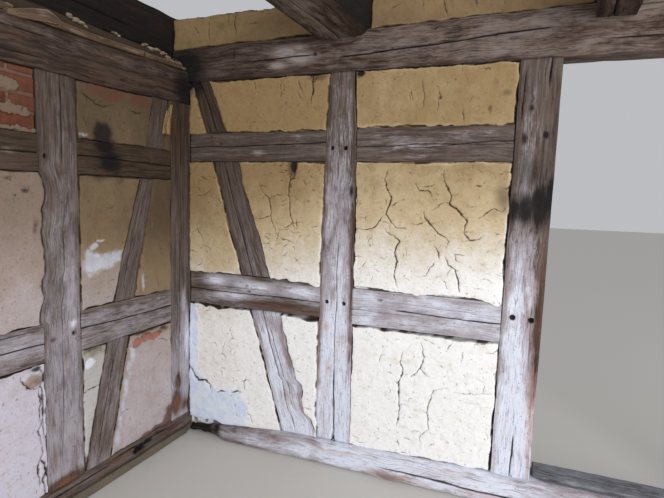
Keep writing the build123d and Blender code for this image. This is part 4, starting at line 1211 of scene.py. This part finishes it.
edge_stains_and_shade = {
    "middle_left_panel": [(0.705, 1.7, 0.026, 0.06, 2.6), (0.712, 1.65, 0.012, 0.03, 1.6)],
    "middle_right_panel": [
        (1.84, 1.54, 0.06, 0.09, 0.75), (1.8, 1.47, 0.05, 0.05, 0.5), (1.075, 1.55, 0.02, 0.04, 0.9)
    ],
    # The broad stains darken the left and middle bands all over: painted shade under the ceiling.
    "band_left_panel": [(0.5, 2.5, 9.0, 9.0, 0.47)],
    "band_middle_panel": [(0.5, 2.5, 9.0, 9.0, 0.58)],
    # Its stains under the rail are painted shade.
    "lower_corner_panel": [(0.22, 0.845, 0.2, 0.05, 0.55), (0.04, 0.84, 0.04, 0.05, 0.5)],
    "upper_right_panel": [
        (1.51, 2.03, 0.012, 0.01, 1.2), (1.75, 1.97, 0.012, 0.02, 1.0), (1.085, 2.175, 0.03, 0.022, 2.2),
        (1.82, 2.04, 0.035, 0.022, 0.65), (1.77, 2.09, 0.02, 0.03, 0.5),
    ],
    "upper_left_panel": [(0.85, 2.175, 0.07, 0.03, 1.1)],
    # The upper corner panel's strong stain, sunk and black, is partly soot and partly painted shade in the
    # corner.
    "upper_corner_panel": [(0.0, 2.18, 0.06, 0.07, 1.8)],
}


def dents(along, height, seed):
    """Small bumps and hollows of a hand-pressed face, in cells of 20 mm and 11 mm."""
    return layered(along, height, seed, (0.0016, 0.021, 0.019, 43), (0.0009, 0.011, 0.0105, 44))


def clay_face(name, box, seed):
    """What the face of one clay panel has: its cracks, its cement patch, its stains, some of them painted
    shade, and how pale it is at each place: partly worn to chalk and partly painted light, paler low down
    and towards the door."""
    rng = np.random.default_rng(seed + 500)
    level_share = 0.65 if box[3] < 1.8 else 0.1
    cracks = panel_cracks.get(name, []) + crazing(rng, box, fine_cracks[name], level_share)
    if name.startswith("middle"):
        for edge in box[:2]:
            cracks += crazing(rng, (edge - 0.1, edge + 0.1, *box[2:]), 20, 0.95)

    def relief(along, height, inside):
        along, height, sunk, dark = cracked(along, height, cracks, seed)
        rough_along = along + 0.024 * uneven(along, height, 0.03, 0.03, seed + 45)
        rough_height = height + 0.024 * uneven(along, height, 0.03, 0.03, seed + 47)
        patch = dabs(rough_along, rough_height, cement_patch) if name == "lower_corner_panel" else 0 * along
        # Paler low down and to the right: partly chalk and partly painted light.
        pale = 1.36 * smooth((1.98 - height) / 1.38) + 0.42 * smooth((along - 0.05) / 1.25) - 0.36
        scraped = 0.5 + 1.6 * uneven(along, height, 0.05, 0.05, seed + 49)
        pale = pale + 0.3 * np.exp(-((np.maximum(inside, 0) / 0.011) ** 2)) * np.clip(scraped, 0, 1)
        sunk = sunk - 0.003 * smooth((patch - 0.35) / 0.3) + dents(along, height, seed)
        hole = dabs(along, height, edge_stains_and_shade.get(name, []))
        sunk = sunk + 0.02 * smooth((hole - 1.0) / 0.8)
        black = 1.3 * smooth((hole - 1.15) / 0.6)
        tones = {"crack": dark, "patch": patch, "pale": pale, "stain": hole, "soot": black}
        return along, height, sunk, tones

    return relief


upper_field = (rail_high["left"][1], girt_bottom)
middle_field = (rail_low["left"][1], rail_high["left"][0])
lower_field = (sill_top, rail_low["left"][0])
cross_panels = {
    "upper_corner_panel": (0.0, brace_left, *upper_field),
    "upper_left_panel": (brace_right, middle_left, *upper_field),
    "middle_corner_panel": (0.0, brace_left, *middle_field),
    "middle_left_panel": (brace_right, middle_left, *middle_field),
    "lower_corner_panel": (0.0, brace_left, *lower_field),
    "lower_left_panel": (brace_right, middle_left, *lower_field),
    "upper_right_panel": (middle_right, door_left, rail_high["right"][1], girt_bottom),
    "middle_right_panel": (middle_right, door_left, rail_low["right"][1], rail_high["right"][0]),
    "lower_right_panel": (middle_right, door_left, sill_top, rail_low["right"][0]),
}
panel_laps = {
    "middle_left_panel": [(2, 0.88, 0.07, -0.026), (2, 0.72, 0.04, -0.01)],
    "middle_right_panel": [(2, 1.83, 0.05, -0.022), (2, 1.12, 0.1, 0.01), (2, 1.45, 0.05, -0.006)],
    "lower_corner_panel": [
        (2, 0.02, 0.14, 0.04), (2, 0.19, 0.05, 0.022), (3, 0.22, 0.05, 0.012), (3, 0.12, 0.02, 0.01)
    ],
    "lower_left_panel": [(3, 0.82, 0.1, 0.014)],
    "lower_right_panel": [(3, 1.7, 0.25, 0.004)],
}
panel_shadows = {
    "middle_corner_panel": [(1, 0.005)],
    "lower_corner_panel": [(3, 0.007), (1, 0.004)],
    "lower_left_panel": [(3, 0.013), (0, 0.004)],
    "lower_right_panel": [(3, 0.012), (0, 0.004), (1, 0.005)],
    "middle_right_panel": [(0, 0.004), (1, 0.005)],
    "upper_right_panel": [(0, 0.006), (1, 0.004), (3, 0.004)],
    "upper_left_panel": [(3, 0.005)],
}
for number, (panel_name, (left, right, bottom, top)) in enumerate(cross_panels.items()):
    seed = 200 + 17 * number
    ends = [float(level(edge, 1.0)) for edge in (left, right, bottom, top)]
    made = infill(
        panel_name, cross_wall, left, right, bottom, top, ochre_clay, seed, cross_depth,
        clay_face(panel_name, ends, seed), gaps=(0.001, 0.001, 0.0, 0.003), pitch=0.0043,
        ragged=(0.005, 0.005, 0.007, 0.006), laps=panel_laps.get(panel_name, ()),
        shadows=panel_shadows.get(panel_name, ()),
    )
    placed(made, "ochre_clay", panel_name)

# Bands of clay between the joists, over the girt: rougher than the panels, with upright cracks, and set
# back a little from the girt's face.
band_front, band_back = 0.025, 0.145
panel_cracks["band_left_panel"] = [
    (THIN, (0.13, 2.56), (0.12, 2.5), (0.13, 2.42)),
    ((0.002, 0.007), (0.31, 2.57), (0.3, 2.5), (0.31, 2.44)),
]
panel_cracks["band_middle_panel"] = [
    (HAIRLINE, (1.39, 2.56), (1.4, 2.47)), (THIN, (1.51, 2.57), (1.5, 2.5), (1.52, 2.42)),
    (HAIRLINE, (1.66, 2.56), (1.65, 2.48)),
]
fine_cracks.update({"band_left_panel": 12, "band_middle_panel": 12, "band_right_panel": 10})
bands = {
    "band_left_panel": (girt_start, mid_joist_left),
    "band_middle_panel": (mid_joist_right, right_joist_left),
    "band_right_panel": (right_joist_right, wall_end - 0.02),
}
for number, (panel_name, (left, right)) in enumerate(bands.items()):
    seed = 401 + 23 * number
    made = infill(
        panel_name, cross_wall, left, right, girt_top, ceiling - 0.02, ochre_clay, seed,
        band_back - band_front, clay_face(panel_name, (left, right, 2.43, 2.57), seed),
        gaps=(0.002, 0.002, 0.004, 0.002), set_back=band_front,
    )
    placed(made, "ochre_clay", panel_name)

# Plaster panels of the outer wall: lime plaster over clay and brick, tan and ochre above, pinkish and
# yellow-white below, paler low down partly as painted light. It has come away from the side post and
# leaves a wavy gap there, darkened by a strip of painted shadow.
whitish = dict(dabbed=((182, 181, 188), (206, 207, 218)), edge=(0.25, 0.95), mottling=0.6)
tan_plaster = washed_clay("tan_plaster", (96, 81, 62), (142, 122, 94), (178, 167, 164), **whitish)
pink_plaster = washed_clay("pink_plaster", (138, 120, 107), (170, 153, 144), (212, 208, 222), **whitish)
pale_plaster = washed_clay(
    "pale_plaster", (150, 142, 128), (190, 187, 182), (222, 224, 238),
    dabbed=((220, 224, 236), (236, 240, 252)), mottling=0.6,
)
brick_plaster = washed_clay("brick_plaster", (124, 106, 90), (142, 124, 108), (160, 142, 130))

outer_faces = {
    "near_upper_panel": dict(
        finish=tan_plaster, pale=(0.15, -0.05), height=(1.765, 2.03),
        cracks=[
            ((0.002, 0.007), (-0.8, 1.985), (-0.71, 1.943), (-0.65, 1.934), (-0.586, 1.954)),
            (THIN, (-0.52, 1.96), (-0.45, 1.936), (-0.4, 1.94)),
        ],
        red=[(-0.64, 2.01, 0.14, 0.05, 1.3), (-0.42, 2.0, 0.1, 0.05, 1.1)],
        smoke=[
            (-0.672, 1.8, 0.06, 0.06, 1.9), (-0.69, 1.84, 0.035, 0.035, 1.2),
            (-0.655, 1.765, 0.08, 0.035, 1.4),
        ],
        patch=[(-0.79, 1.785, 0.05, 0.014, 0.62)],
    ),
    "near_upper_corner_panel": dict(
        # Its dark stain and low pale tone paint the shadow in the corner bay.
        finish=tan_plaster, pale=(-0.2, -0.2), height=(1.765, 2.03), stain=[(-0.23, 1.9, 0.2, 0.3, 0.9)]
    ),
    "near_middle_panel": dict(
        finish=tan_plaster, pale=(1.0, 0.26), height=(0.955, 1.45), shadows=[(0, 0.006), (1, 0.016)],
        patch=[
            (-0.74, 1.175, 0.06, 0.048, 1.5), (-0.66, 1.175, 0.07, 0.042, 1.4),
            (-0.59, 1.195, 0.05, 0.034, 1.2), (-0.765, 1.215, 0.03, 0.035, 1.2),
            (-0.692, 1.281, 0.032, 0.01, 1.1), (-0.735, 1.256, 0.03, 0.018, 1.2),
            (-0.57, 1.215, 0.03, 0.02, 0.9), (-0.76, 1.115, 0.02, 0.018, 0.7),
        ],
        smoke=[(-0.7, 1.6, 0.1, 0.035, 0.8), (-0.56, 1.58, 0.05, 0.04, 0.7)],
    ),
    "near_middle_corner_panel": dict(
        finish=tan_plaster, pale=(0.58, -0.08), height=(0.955, 1.5), stain=[(-0.3, 1.4, 0.4, 0.5, 0.55)],
        patch=[(-0.405, 1.03, 0.016, 0.07, 0.8), (-0.33, 1.35, 0.01, 0.12, 0.4)], shadows=[(1, 0.004)],
        smoke=[(-0.33, 1.6, 0.05, 0.03, 0.7)],
    ),
    "near_lower_panel": dict(
        finish=pale_plaster, pale=(0.75, 0.55), height=(0.14, 0.75),
        cracks=[((0.0022, 0.008), (-0.825, 0.535), (-0.78, 0.548), (-0.72, 0.55))],
        # Its smoke dab right under the rail is painted shadow.
        patch=[(-0.775, 0.68, 0.035, 0.03, 1.1)], smoke=[(-0.76, 0.75, 0.07, 0.02, 0.9)],
        rough=[(-0.74, 0.735, 0.09, 0.028, 1.2)], red=[(-0.8, 0.17, 0.03, 0.05, 1.6)],
        laps=[(1, 0.5, 0.22, 0.006), (1, 0.7, 0.05, 0.006)], shadows=[(0, 0.005), (1, 0.013)],
    ),
    "near_lower_corner_panel": dict(
        finish=pink_plaster, pale=(0.72, 0.68), height=(0.14, 0.75),
        red=[(-0.17, 0.16, 0.075, 0.085, 2.0), (-0.3, 0.145, 0.16, 0.022, 1.4)],
        brick=[
            (-0.45, 0.7, 0.05, 0.028, 1.2), (-0.38, 0.712, 0.05, 0.026, 1.3),
            (-0.31, 0.705, 0.04, 0.022, 1.1), (-0.5, 0.682, 0.03, 0.02, 0.8),
            (-0.27, 0.72, 0.03, 0.02, 0.7),
        ],
        # The two smoke dabs right under the rail are painted shadow.
        smoke=[
            (-0.4, 0.752, 0.16, 0.014, 1.2), (-0.24, 0.735, 0.05, 0.03, 0.9), (-0.2, 0.2, 0.03, 0.1, 0.6)
        ],
        rough=[
            (-0.535, 0.62, 0.03, 0.1, 0.8), (-0.57, 0.48, 0.025, 0.1, 0.7), (-0.61, 0.28, 0.025, 0.1, 0.6),
            (-0.3, 0.74, 0.2, 0.03, 0.6),
        ],
        patch=[
            (-0.49, 0.66, 0.022, 0.06, 1.0), (-0.515, 0.57, 0.02, 0.07, 1.0),
            (-0.54, 0.48, 0.018, 0.07, 1.0), (-0.56, 0.39, 0.016, 0.07, 0.9),
            (-0.59, 0.3, 0.018, 0.06, 1.0), (-0.6, 0.22, 0.022, 0.06, 1.1),
        ],
        shadows=[(0, 0.004), (1, 0.004), (3, 0.006)],
        cracks=[
            (HAIRLINE, (-0.6, 0.33), (-0.54, 0.35), (-0.5, 0.345)),
            (HAIRLINE, (-0.3, 0.68), (-0.25, 0.67), (-0.2, 0.645)),
        ],
    ),
    "outer_lower_panel": dict(
        finish=pink_plaster, pale=(1.12, 0.92), height=(0.14, 0.75),
        patch=[(-1.115, 0.585, 0.01, 0.014, 1.0)], rough=[(-1.4, 0.74, 0.2, 0.02, 0.7)],
        bulge=[(-1.085, 0.692, 0.045, 0.032, 1.0)], red=[(-1.085, 0.692, 0.04, 0.028, 0.62)],
        # Its smoke dab where the rail meets the post is painted shade in that corner.
        smoke=[(-1.065, 0.74, 0.03, 0.012, 1.3)], shadows=[(1, 0.005), (3, 0.005)],
        cracks=[
            (
                (0.0022, 0.008), (-1.14, 0.73), (-1.128, 0.7), (-1.11, 0.672), (-1.085, 0.655),
                (-1.058, 0.648),
            ),
            (
                (0.0042, 0.018), (-1.045, 0.745), (-1.029, 0.707), (-1.03, 0.675), (-1.042, 0.659),
                (-1.033, 0.636), (-1.034, 0.591), (-1.033, 0.546), (-1.038, 0.498), (-1.033, 0.455),
                (-1.028, 0.411),
            ),
            (
                (0.0042, 0.018), (-1.045, 0.373), (-1.039, 0.345), (-1.051, 0.314), (-1.032, 0.288),
                (-1.034, 0.242), (-1.044, 0.222), (-1.036, 0.18), (-1.033, 0.145),
            ),
            (
                (0.002, 0.008), (-1.053, 0.651), (-1.051, 0.618), (-1.046, 0.575), (-1.055, 0.553),
                (-1.055, 0.517), (-1.046, 0.476), (-1.061, 0.458), (-1.052, 0.413), (-1.044, 0.385),
            ),
            (WIDE, (-1.051, 0.33), (-1.064, 0.316), (-1.067, 0.243), (-1.059, 0.209), (-1.062, 0.194)),
        ],
    ),
    "outer_middle_panel": dict(
        finish=pink_plaster, pale=(0.66, -0.05), height=(0.95, 1.6),
        smoke=[
            (-1.131, 1.501, 0.008, 0.006, 1.2), (-1.15, 1.561, 0.008, 0.006, 1.1),
            (-1.09, 1.52, 0.03, 0.015, 0.9), (-1.16, 1.57, 0.03, 0.01, 0.8),
            (-1.045, 1.36, 0.02, 0.05, 0.6),
        ],
        shadows=[(1, 0.013), (2, 0.004)],
    ),
    "outer_brick_panel": dict(
        finish=brick_plaster, pale=(0.1, 0.1), height=(1.765, 2.03), brick=[(-1.3, 1.9, 9.0, 9.0, 1.4)],
        stain=[(-1.3, 1.9, 9.0, 9.0, 0.38)],
        plaster=[
            (-1.17, 1.946, 0.075, 0.026, 1.3), (-1.3, 1.935, 0.09, 0.03, 1.2),
            (-1.14, 1.848, 0.075, 0.024, 1.3), (-1.27, 1.85, 0.09, 0.026, 1.3),
            (-1.07, 1.842, 0.02, 0.014, 0.9), (-1.46, 1.9, 0.08, 0.05, 1.1), (-1.58, 1.98, 0.07, 0.03, 1.0),
            (-1.56, 1.82, 0.08, 0.03, 1.1), (-1.3, 1.772, 0.4, 0.012, 1.1),
        ],
    ),
}


def course_joints(along, height, bottom):
    """How deep in a mortar joint each point lies, and the number of its brick: courses of 77 mm and bricks
    of 0.24 m with 12 mm joints, each course shifted by half a brick."""
    course_height, pitch, first_joint = 0.077, 0.252, 0.264
    course = np.floor((height - bottom) / course_height)
    up = (height - bottom) - course * course_height
    run = along + np.where(course % 2 == 0, 0.0, pitch / 2) + first_joint
    head = np.mod(run, pitch)
    joint = np.minimum(np.minimum(up, course_height - up), np.minimum(head, pitch - head))
    return 1 - smooth((joint - 0.0045) / 0.004), course * 7 + np.floor(run / pitch)


def plaster_face(look, box, seed):
    """What the face of one plaster panel has: cracks, limewash that is paler low down, partly as painted
    light, smoke and stains that are partly painted shade, rough mortar, a bulge and bare brick where the
    plaster has fallen."""
    rng = np.random.default_rng(seed + 500)
    cracks = look.get("cracks", []) + crazing(rng, box, 4)
    foot, head = look["pale"]
    foot_height, head_height = look["height"]

    def relief(along, height, inside):
        along, height, sunk, dark = cracked(along, height, cracks, seed)

        def frayed(place, number):
            place = place + 0.02 * uneven(along, height, 0.03, 0.03, seed + number)
            return place + 0.008 * uneven(along, height, 0.01, 0.01, seed + number + 1)

        def spots(kind, places):
            return dabs(*places, look.get(kind, ()))

        ragged = frayed(along, 45), frayed(height, 47)
        patch = spots("patch", ((along + ragged[0]) / 2, (height + ragged[1]) / 2))
        bare = spots("brick", ragged) * (1 - smooth((spots("plaster", ragged) - 0.4) / 0.08))
        bare = smooth((bare - 0.45) / 0.12)
        joints, brick = course_joints(along, height, foot_height)
        rough, bulge = spots("rough", ragged), spots("bulge", (along, height))
        crumbs = 0.5 - np.abs(uneven(along, height, 0.014, 0.014, seed + 49))
        sunk = sunk + bare * (0.007 + 0.006 * joints + 0.003 * uneven(brick, 0.5, 1.0, 1.0, seed + 50))
        sunk = sunk + rough * (0.004 + 0.016 * (0.5 - crumbs)) - 0.016 * smooth((bulge - 0.25) / 0.5)
        sunk = sunk + 0.6 * dents(along, height, seed)
        # Paler low down: partly limewash and partly painted light.
        pale = foot + (head - foot) * smooth((height - foot_height) / (head_height - foot_height))
        pale = pale - 0.5 * rough - 0.5 * smooth((bulge - 0.3) / 0.3)
        tones = {
            # Cracks and the hollows between rough crumbs: painted shade.
            "crack": np.maximum(dark, 0.5 * rough * smooth((0.3 - crumbs) / 0.2)),
            "patch": patch,
            "pale": pale,
            "soot": spots("smoke", (along, height)),
            "stain": spots("stain", (along, height)),
            "red": spots("red", ragged),
            "brick": bare * (1 - joints) * (1.0 + 0.5 * uneven(brick, 0.5, 1.0, 1.0, seed + 51)),
            "mortar": bare * joints,
        }
        return along, height, sunk, tones

    return relief


outer_panels = {
    "near_upper_panel": (side_post_near, side_brace_far, side_rail_high[1], plate_bottom),
    "near_upper_corner_panel": (side_brace_near, corner_post_face, side_rail_high[1], plate_bottom),
    "near_middle_panel": (side_post_near, side_brace_far, side_rail_low[1], side_rail_high[0]),
    "near_middle_corner_panel": (side_brace_near, corner_post_face, side_rail_low[1], side_rail_high[0]),
    "near_lower_panel": (side_post_near, side_brace_far, side_sill_top, side_rail_low[0]),
    "near_lower_corner_panel": (side_brace_near, corner_post_face, side_sill_top, side_rail_low[0]),
    "outer_lower_panel": (side_end_near, side_post_far, side_sill_top, outer_rail_low[0]),
    "outer_middle_panel": (side_end_near, side_post_left, outer_rail_low[1], side_rail_high[0]),
    "outer_brick_panel": (side_end_near, side_post_far, side_rail_high[1], plate_bottom),
}
for number, (panel_name, (left, right, bottom, top)) in enumerate(outer_panels.items()):
    seed = 600 + 19 * number
    head = float(level(top, -1.0))
    middle = 0.5 * (bottom + head)
    ends = (float(level(left, middle)), float(level(right, middle)), bottom, head)
    look = outer_faces[panel_name]
    side_gap = 0.0 if panel_name == "outer_middle_panel" else 0.001
    made = infill(
        panel_name, outer_wall, left, right, bottom, top, look["finish"], seed, side_depth,
        plaster_face(look, ends, seed), gaps=(0.001, side_gap, 0.001, 0.002),
        ragged=(0.004, 0.004, 0.006, 0.004), proud=0.001, laps=look.get("laps", ()),
        shadows=look.get("shadows", ((0, 0.004), (1, 0.004))),
    )
    placed(made, "old_brick" if panel_name == "outer_brick_panel" else "lime_plaster", panel_name)

# Clay bed on the plates: daub pressed onto the upper plate and banked up against the joist, with laths
# along its front edge and crumbs of clay and mortar lying on it. The bank is coloured as a darker copy of
# the clay: painted shade in the recess under the ceiling.
bed_top = line((-0.65, plate_top + 0.02), (0.0, plate_top + 0.04))
fitted(
    "clay_bed", "plate_bed", outer_wall.lying, (side_start, -0.002), (plate_upper, bed_top),
    washed_clay("bed_clay", (104, 88, 70), (128, 110, 88), (160, 144, 118)), seed=173, front=0.018,
    back=side_depth, wane=0.005, bleach=(0.3, 0.3), hewn=0.003, fibre=0.0005,
)
# Darker copy of the bed's clay: painted shade in the recess.
shaded_bank_clay = washed_clay("shaded_bank_clay", (50, 40, 32), (70, 57, 45), (104, 88, 70), mottling=0.9)
bank = timber(
    "bed_bank", outer_wall.lying, (wall_near_end + 0.01, -0.008), (plate_top + 0.016, 2.334), shaded_bank_clay,
    seed=179, front=0.032, back=0.136, wane=0.01, wanes=(1, 7.5, 1, 1), arc=9, bleach=(0.3, 0.3),
    hewn=0.008, fibre=0.003,
)
placed(bank, "clay_bed")


def stones(name, wall, spots, finish, seed):
    """Rounded lumps in one mesh: (along, height, depth, radius along, radius up, radius through) each.
    A point of a lump is its centre plus its radii times the unit sphere's point with each coordinate
    to the power 0.62, and times 1 + noise."""
    spots = np.array(spots, float)
    count, rings, sides = len(spots), 9, 14
    polar = np.linspace(0, math.pi, rings + 2)[1:-1]
    around = np.arange(sides) * 2 * math.pi / sides
    belt, rise = np.sin(polar)[:, None], np.cos(polar)[:, None] + 0 * around
    unit = np.stack([belt * np.cos(around), rise, belt * np.sin(around)], -1).reshape(-1, 3)
    unit = np.concatenate([unit, [[0, 1, 0], [0, -1, 0]]])
    squared = np.sign(unit) * np.abs(unit) ** 0.62
    key = np.arange(count)[:, None] * 3.7
    bumps = 1 + 0.7 * uneven(unit[None, :, 0] + key, unit[None, :, 1] + unit[None, :, 2], 0.8, 0.8, seed)
    body = spots[:, None, :3] + spots[:, None, 3:] * squared[None] * bumps[..., None]
    index = np.arange(rings * sides).reshape(rings, sides)
    quads, fans = tube(index), end_caps(index, index.size)
    step = (np.arange(count) * (rings * sides + 2))[:, None, None]
    along, height, depth = (body[..., k].ravel() for k in range(3))
    flat = np.stack([along, height], -1)
    pale = np.repeat(0.5 + 0.8 * uneven(np.arange(count) * 1.0, 0.5, 1.0, 1.0, seed + 1), unit.shape[0])
    return closed_mesh(
        name, wall.at(along, height, depth), (quads[None] + step).reshape(-1, 4),
        (fans[None] + step).reshape(-1, 3), flat, {"pale": pale}, finish,
    )


crumb_clay = washed_clay("crumb_clay", (104, 90, 74), (136, 120, 102), (172, 158, 138))
rng = np.random.default_rng(877)
crumb_places = [
    (-1.1, 2.325, 0.065), (-0.79, 2.326, 0.066), (-0.765, 2.312, 0.052), (-0.735, 2.306, 0.048),
    (-0.5, 2.33, 0.074), (-0.29, 2.332, 0.074), (-0.255, 2.318, 0.058), (-0.195, 2.326, 0.066),
    (-0.165, 2.318, 0.058), (-0.135, 2.3, 0.046), (-0.115, 2.288, 0.04), (-0.045, 2.285, 0.04),
]


def lump(along, height, depth, wide, tall, thick):
    """A lump at a place, with its three radii drawn at random from their ranges."""
    return along, height, depth, rng.uniform(*wide), rng.uniform(*tall), rng.uniform(*thick)


crumbs = [lump(a, h, d, (0.01, 0.021), (0.005, 0.01), (0.008, 0.014)) for a, h, d in crumb_places]
for a, h, d in 3 * crumb_places:
    a, h = a + rng.uniform(-0.03, 0.03), h + rng.uniform(-0.012, 0.006)
    crumbs.append(lump(a, h, d, (0.004, 0.01), (0.003, 0.006), (0.005, 0.009)))
plate_rise = line((-0.65, 0.0), (0.0, 0.02))
scattered = rng.uniform(-1.8, -0.05, 46)
for a in scattered:
    h, d = 2.26 + plate_rise(a), rng.uniform(0.022, 0.032)
    crumbs.append(lump(a, h, d, (0.005, 0.012), (0.003, 0.006), (0.005, 0.01)))
rubble = stones("bed_crumbs", outer_wall, crumbs, crumb_clay, 881)
placed(rubble, "clay_bed")

lath_oak = oak(
    "lath_oak", (108, 92, 78), (146, 128, 110), (176, 158, 140), (188, 172, 154), (206, 196, 182)
)
lifted_low = line((-1.13, 2.216), (-1.06, 2.22), (-0.95, 2.238), (-0.88, 2.246))
lifted_high = line((-1.13, 2.24), (-1.02, 2.277), (-0.95, 2.293), (-0.91, 2.279), (-0.88, 2.258))
laths = [
    (-0.9, -0.36, line((-0.65, 2.236), (0.0, 2.256)), line((-0.65, 2.265), (0.0, 2.285)), 0.006, 0.02),
    (-0.4, -0.06, line((-0.65, 2.238), (0.0, 2.258)), line((-0.65, 2.262), (0.0, 2.28)), 0.008, 0.021),
    (-1.135, -0.88, lifted_low, lifted_high, 0.0, 0.026), (-1.8, -1.1, 2.238, 2.262, 0.01, 0.022),
]
for number, (start, end, low, high, front, back) in enumerate(laths):
    lath = timber(
        f"bed_lath_{number + 1}", outer_wall.lying, (start, end), (low, high), lath_oak,
        seed=191 + 6 * number, front=front, back=back, wane=0.003, bleach=(0.5, 0.5),
        pitch=(0.003, 0.004, 0.003, 0.004), hewn=0.002,
    )
    placed(lath, "clay_bed")

# Footing under the outer wall: a low strip of field stones in mortar, on which the sill lies. It stands a
# little proud of the wall's face, up to where the cross wall's sill meets it.
rubble_mortar = washed_clay("rubble_mortar", (96, 86, 74), (122, 112, 100), (152, 144, 134))
plinth_proud = 0.014
fitted(
    "footing", "side_plinth", outer_wall.lying, (side_start, side_finish), (0.0, footing_top),
    rubble_mortar, seed=211, front=line((-0.031, -plinth_proud + 0.004), (-0.029, 0.002)),
    back=side_depth - 0.001, wane=0.008, bleach=(0.3, 0.3), pitch=(0.005, 0.012, 0.012, 0.012), hewn=0.006,
    fibre=0.001,
)

# Board in the doorway: split oak, worn, laid over the sill between the door post and the far post. Its left
# end is ragged, and its front edge lies a little behind the wall's face.
weathered_oak = oak(
    "weathered_oak", (72, 70, 72), (104, 104, 108), (138, 138, 142), (152, 154, 162), (196, 200, 212)
)
fitted(
    "grey_oak", "threshold_board", cross_wall.lying, (2.046, door_far - 0.004), (0.163, 0.189),
    weathered_oak, seed=223, front=line((2.04, 0.05), (2.075, 0.03), (2.1, 0.02), (3.0, 0.018)), back=0.156,
    wane=0.004, wanes=(1, 1.6, 1, 1),
    shakes=[
        (1, 2.0, 2.6, 0.45, 0.5, 0.002, 0.007), (1, 2.4, 3.0, 0.3, 0.25, 0.002, 0.006),
        (1, 2.0, 2.2, 0.2, 0.3, 0.003, 0.008),
    ],
    bites=[(1, 2.1, 0.03, 0.012), (1, 2.35, 0.05, 0.008)], bleach=(0.55, 0.55), lively=0.6,
    pitch=(0.004, 0.004, 0.006, 0.01), hewn=0.002,
)

# Splinter at the corner post's head: raw oak, light yellow where it tore off the post. It still hangs there
# a little in front of the post's face, touched with soot.
raw_oak = oak("raw_oak", (150, 122, 78), (190, 162, 110), (214, 194, 152), (220, 204, 172), (232, 222, 202))
splinter_low = line((1.85, -0.24), (1.93, -0.222), (2.03, -0.178))
splinter_high = line((1.85, -0.18), (1.93, -0.176), (2.03, -0.158))
splinter = timber(
    "corner_splinter", outer_wall.upright, (1.852, 2.026), (splinter_low, splinter_high), raw_oak, seed=229,
    front=-0.012, back=0.012, wane=0.005, bleach=(-2.2, 0.8), smoked=0.4,
    pitch=(0.004, 0.004, 0.004, 0.004), hewn=0.003,
    soot=[(-0.225, 1.905, 0.02, 0.012, 0.7), (-0.19, 1.96, 0.01, 0.05, 0.7)],
)
placed(splinter, "grey_oak")

# Floor, light and camera: a pale floor, a soft light from the room's side with even light all round, and
# the viewpoint of the photograph.
floor_material, floor_shader, _ = new_finish("floor", 0.9)
floor_shader.inputs["Base Color"].default_value = shade(214, 211, 205)
floor_mesh = bpy.data.meshes.new("floor")
half = 30.0
floor_mesh.from_pydata(
    [(-half, -half, 0), (half, -half, 0), (half, half, 0), (-half, half, 0)], [], [(0, 1, 2, 3)]
)
floor_mesh.materials.append(floor_material)
floor = bpy.data.objects.new("floor", floor_mesh)
bpy.context.scene.collection.objects.link(floor)

world = bpy.data.worlds.new("room")
world.use_nodes = True
bpy.context.scene.world = world
background = next(n for n in world.node_tree.nodes if n.type == "BACKGROUND")
background.inputs["Color"].default_value = shade(232, 234, 238)
background.inputs["Strength"].default_value = 0.62


def lamp(name, power, size, place, target):
    """A square soft lamp that faces a point."""
    data = bpy.data.lights.new(name, "AREA")
    data.energy = power
    data.size = size
    made = bpy.data.objects.new(name, data)
    made.location = place
    away = np.array(place) - np.array(target)
    tilt, turn = math.atan2(math.hypot(away[0], away[1]), away[2]), math.atan2(away[0], -away[1])
    made.rotation_euler = (tilt, 0.0, turn)
    bpy.context.scene.collection.objects.link(made)


lamp("key", 190.0, 2.6, (2.9, -3.9, 2.3), (0.2, 0.7, 0.9))

focal_px, image_width = 512.0, 664.0
yaw, pitch_down, roll = math.radians(22.0), math.radians(6.0), math.radians(1.6)
ahead = np.array(
    [-math.sin(yaw) * math.cos(pitch_down), math.cos(yaw) * math.cos(pitch_down), -math.sin(pitch_down)]
)
level_right = np.array([math.cos(yaw), math.sin(yaw), 0.0])
level_up = np.cross(level_right, ahead)
right = math.cos(roll) * level_right + math.sin(roll) * level_up
up = math.cos(roll) * level_up - math.sin(roll) * level_right
camera_data = bpy.data.cameras.new("camera")
camera_data.sensor_width = 36.0
camera_data.lens = focal_px / image_width * camera_data.sensor_width
camera = bpy.data.objects.new("camera", camera_data)
eye = corner + (2.005, -2.6, 1.536)
camera.matrix_world = Matrix(
    [[*row, e] for row, e in zip(np.stack([right, up, -ahead], 1), eye)] + [[0, 0, 0, 1]]
)
bpy.context.scene.collection.objects.link(camera)
bpy.context.scene.camera = camera

bpy.context.scene.view_settings.view_transform = "Standard"
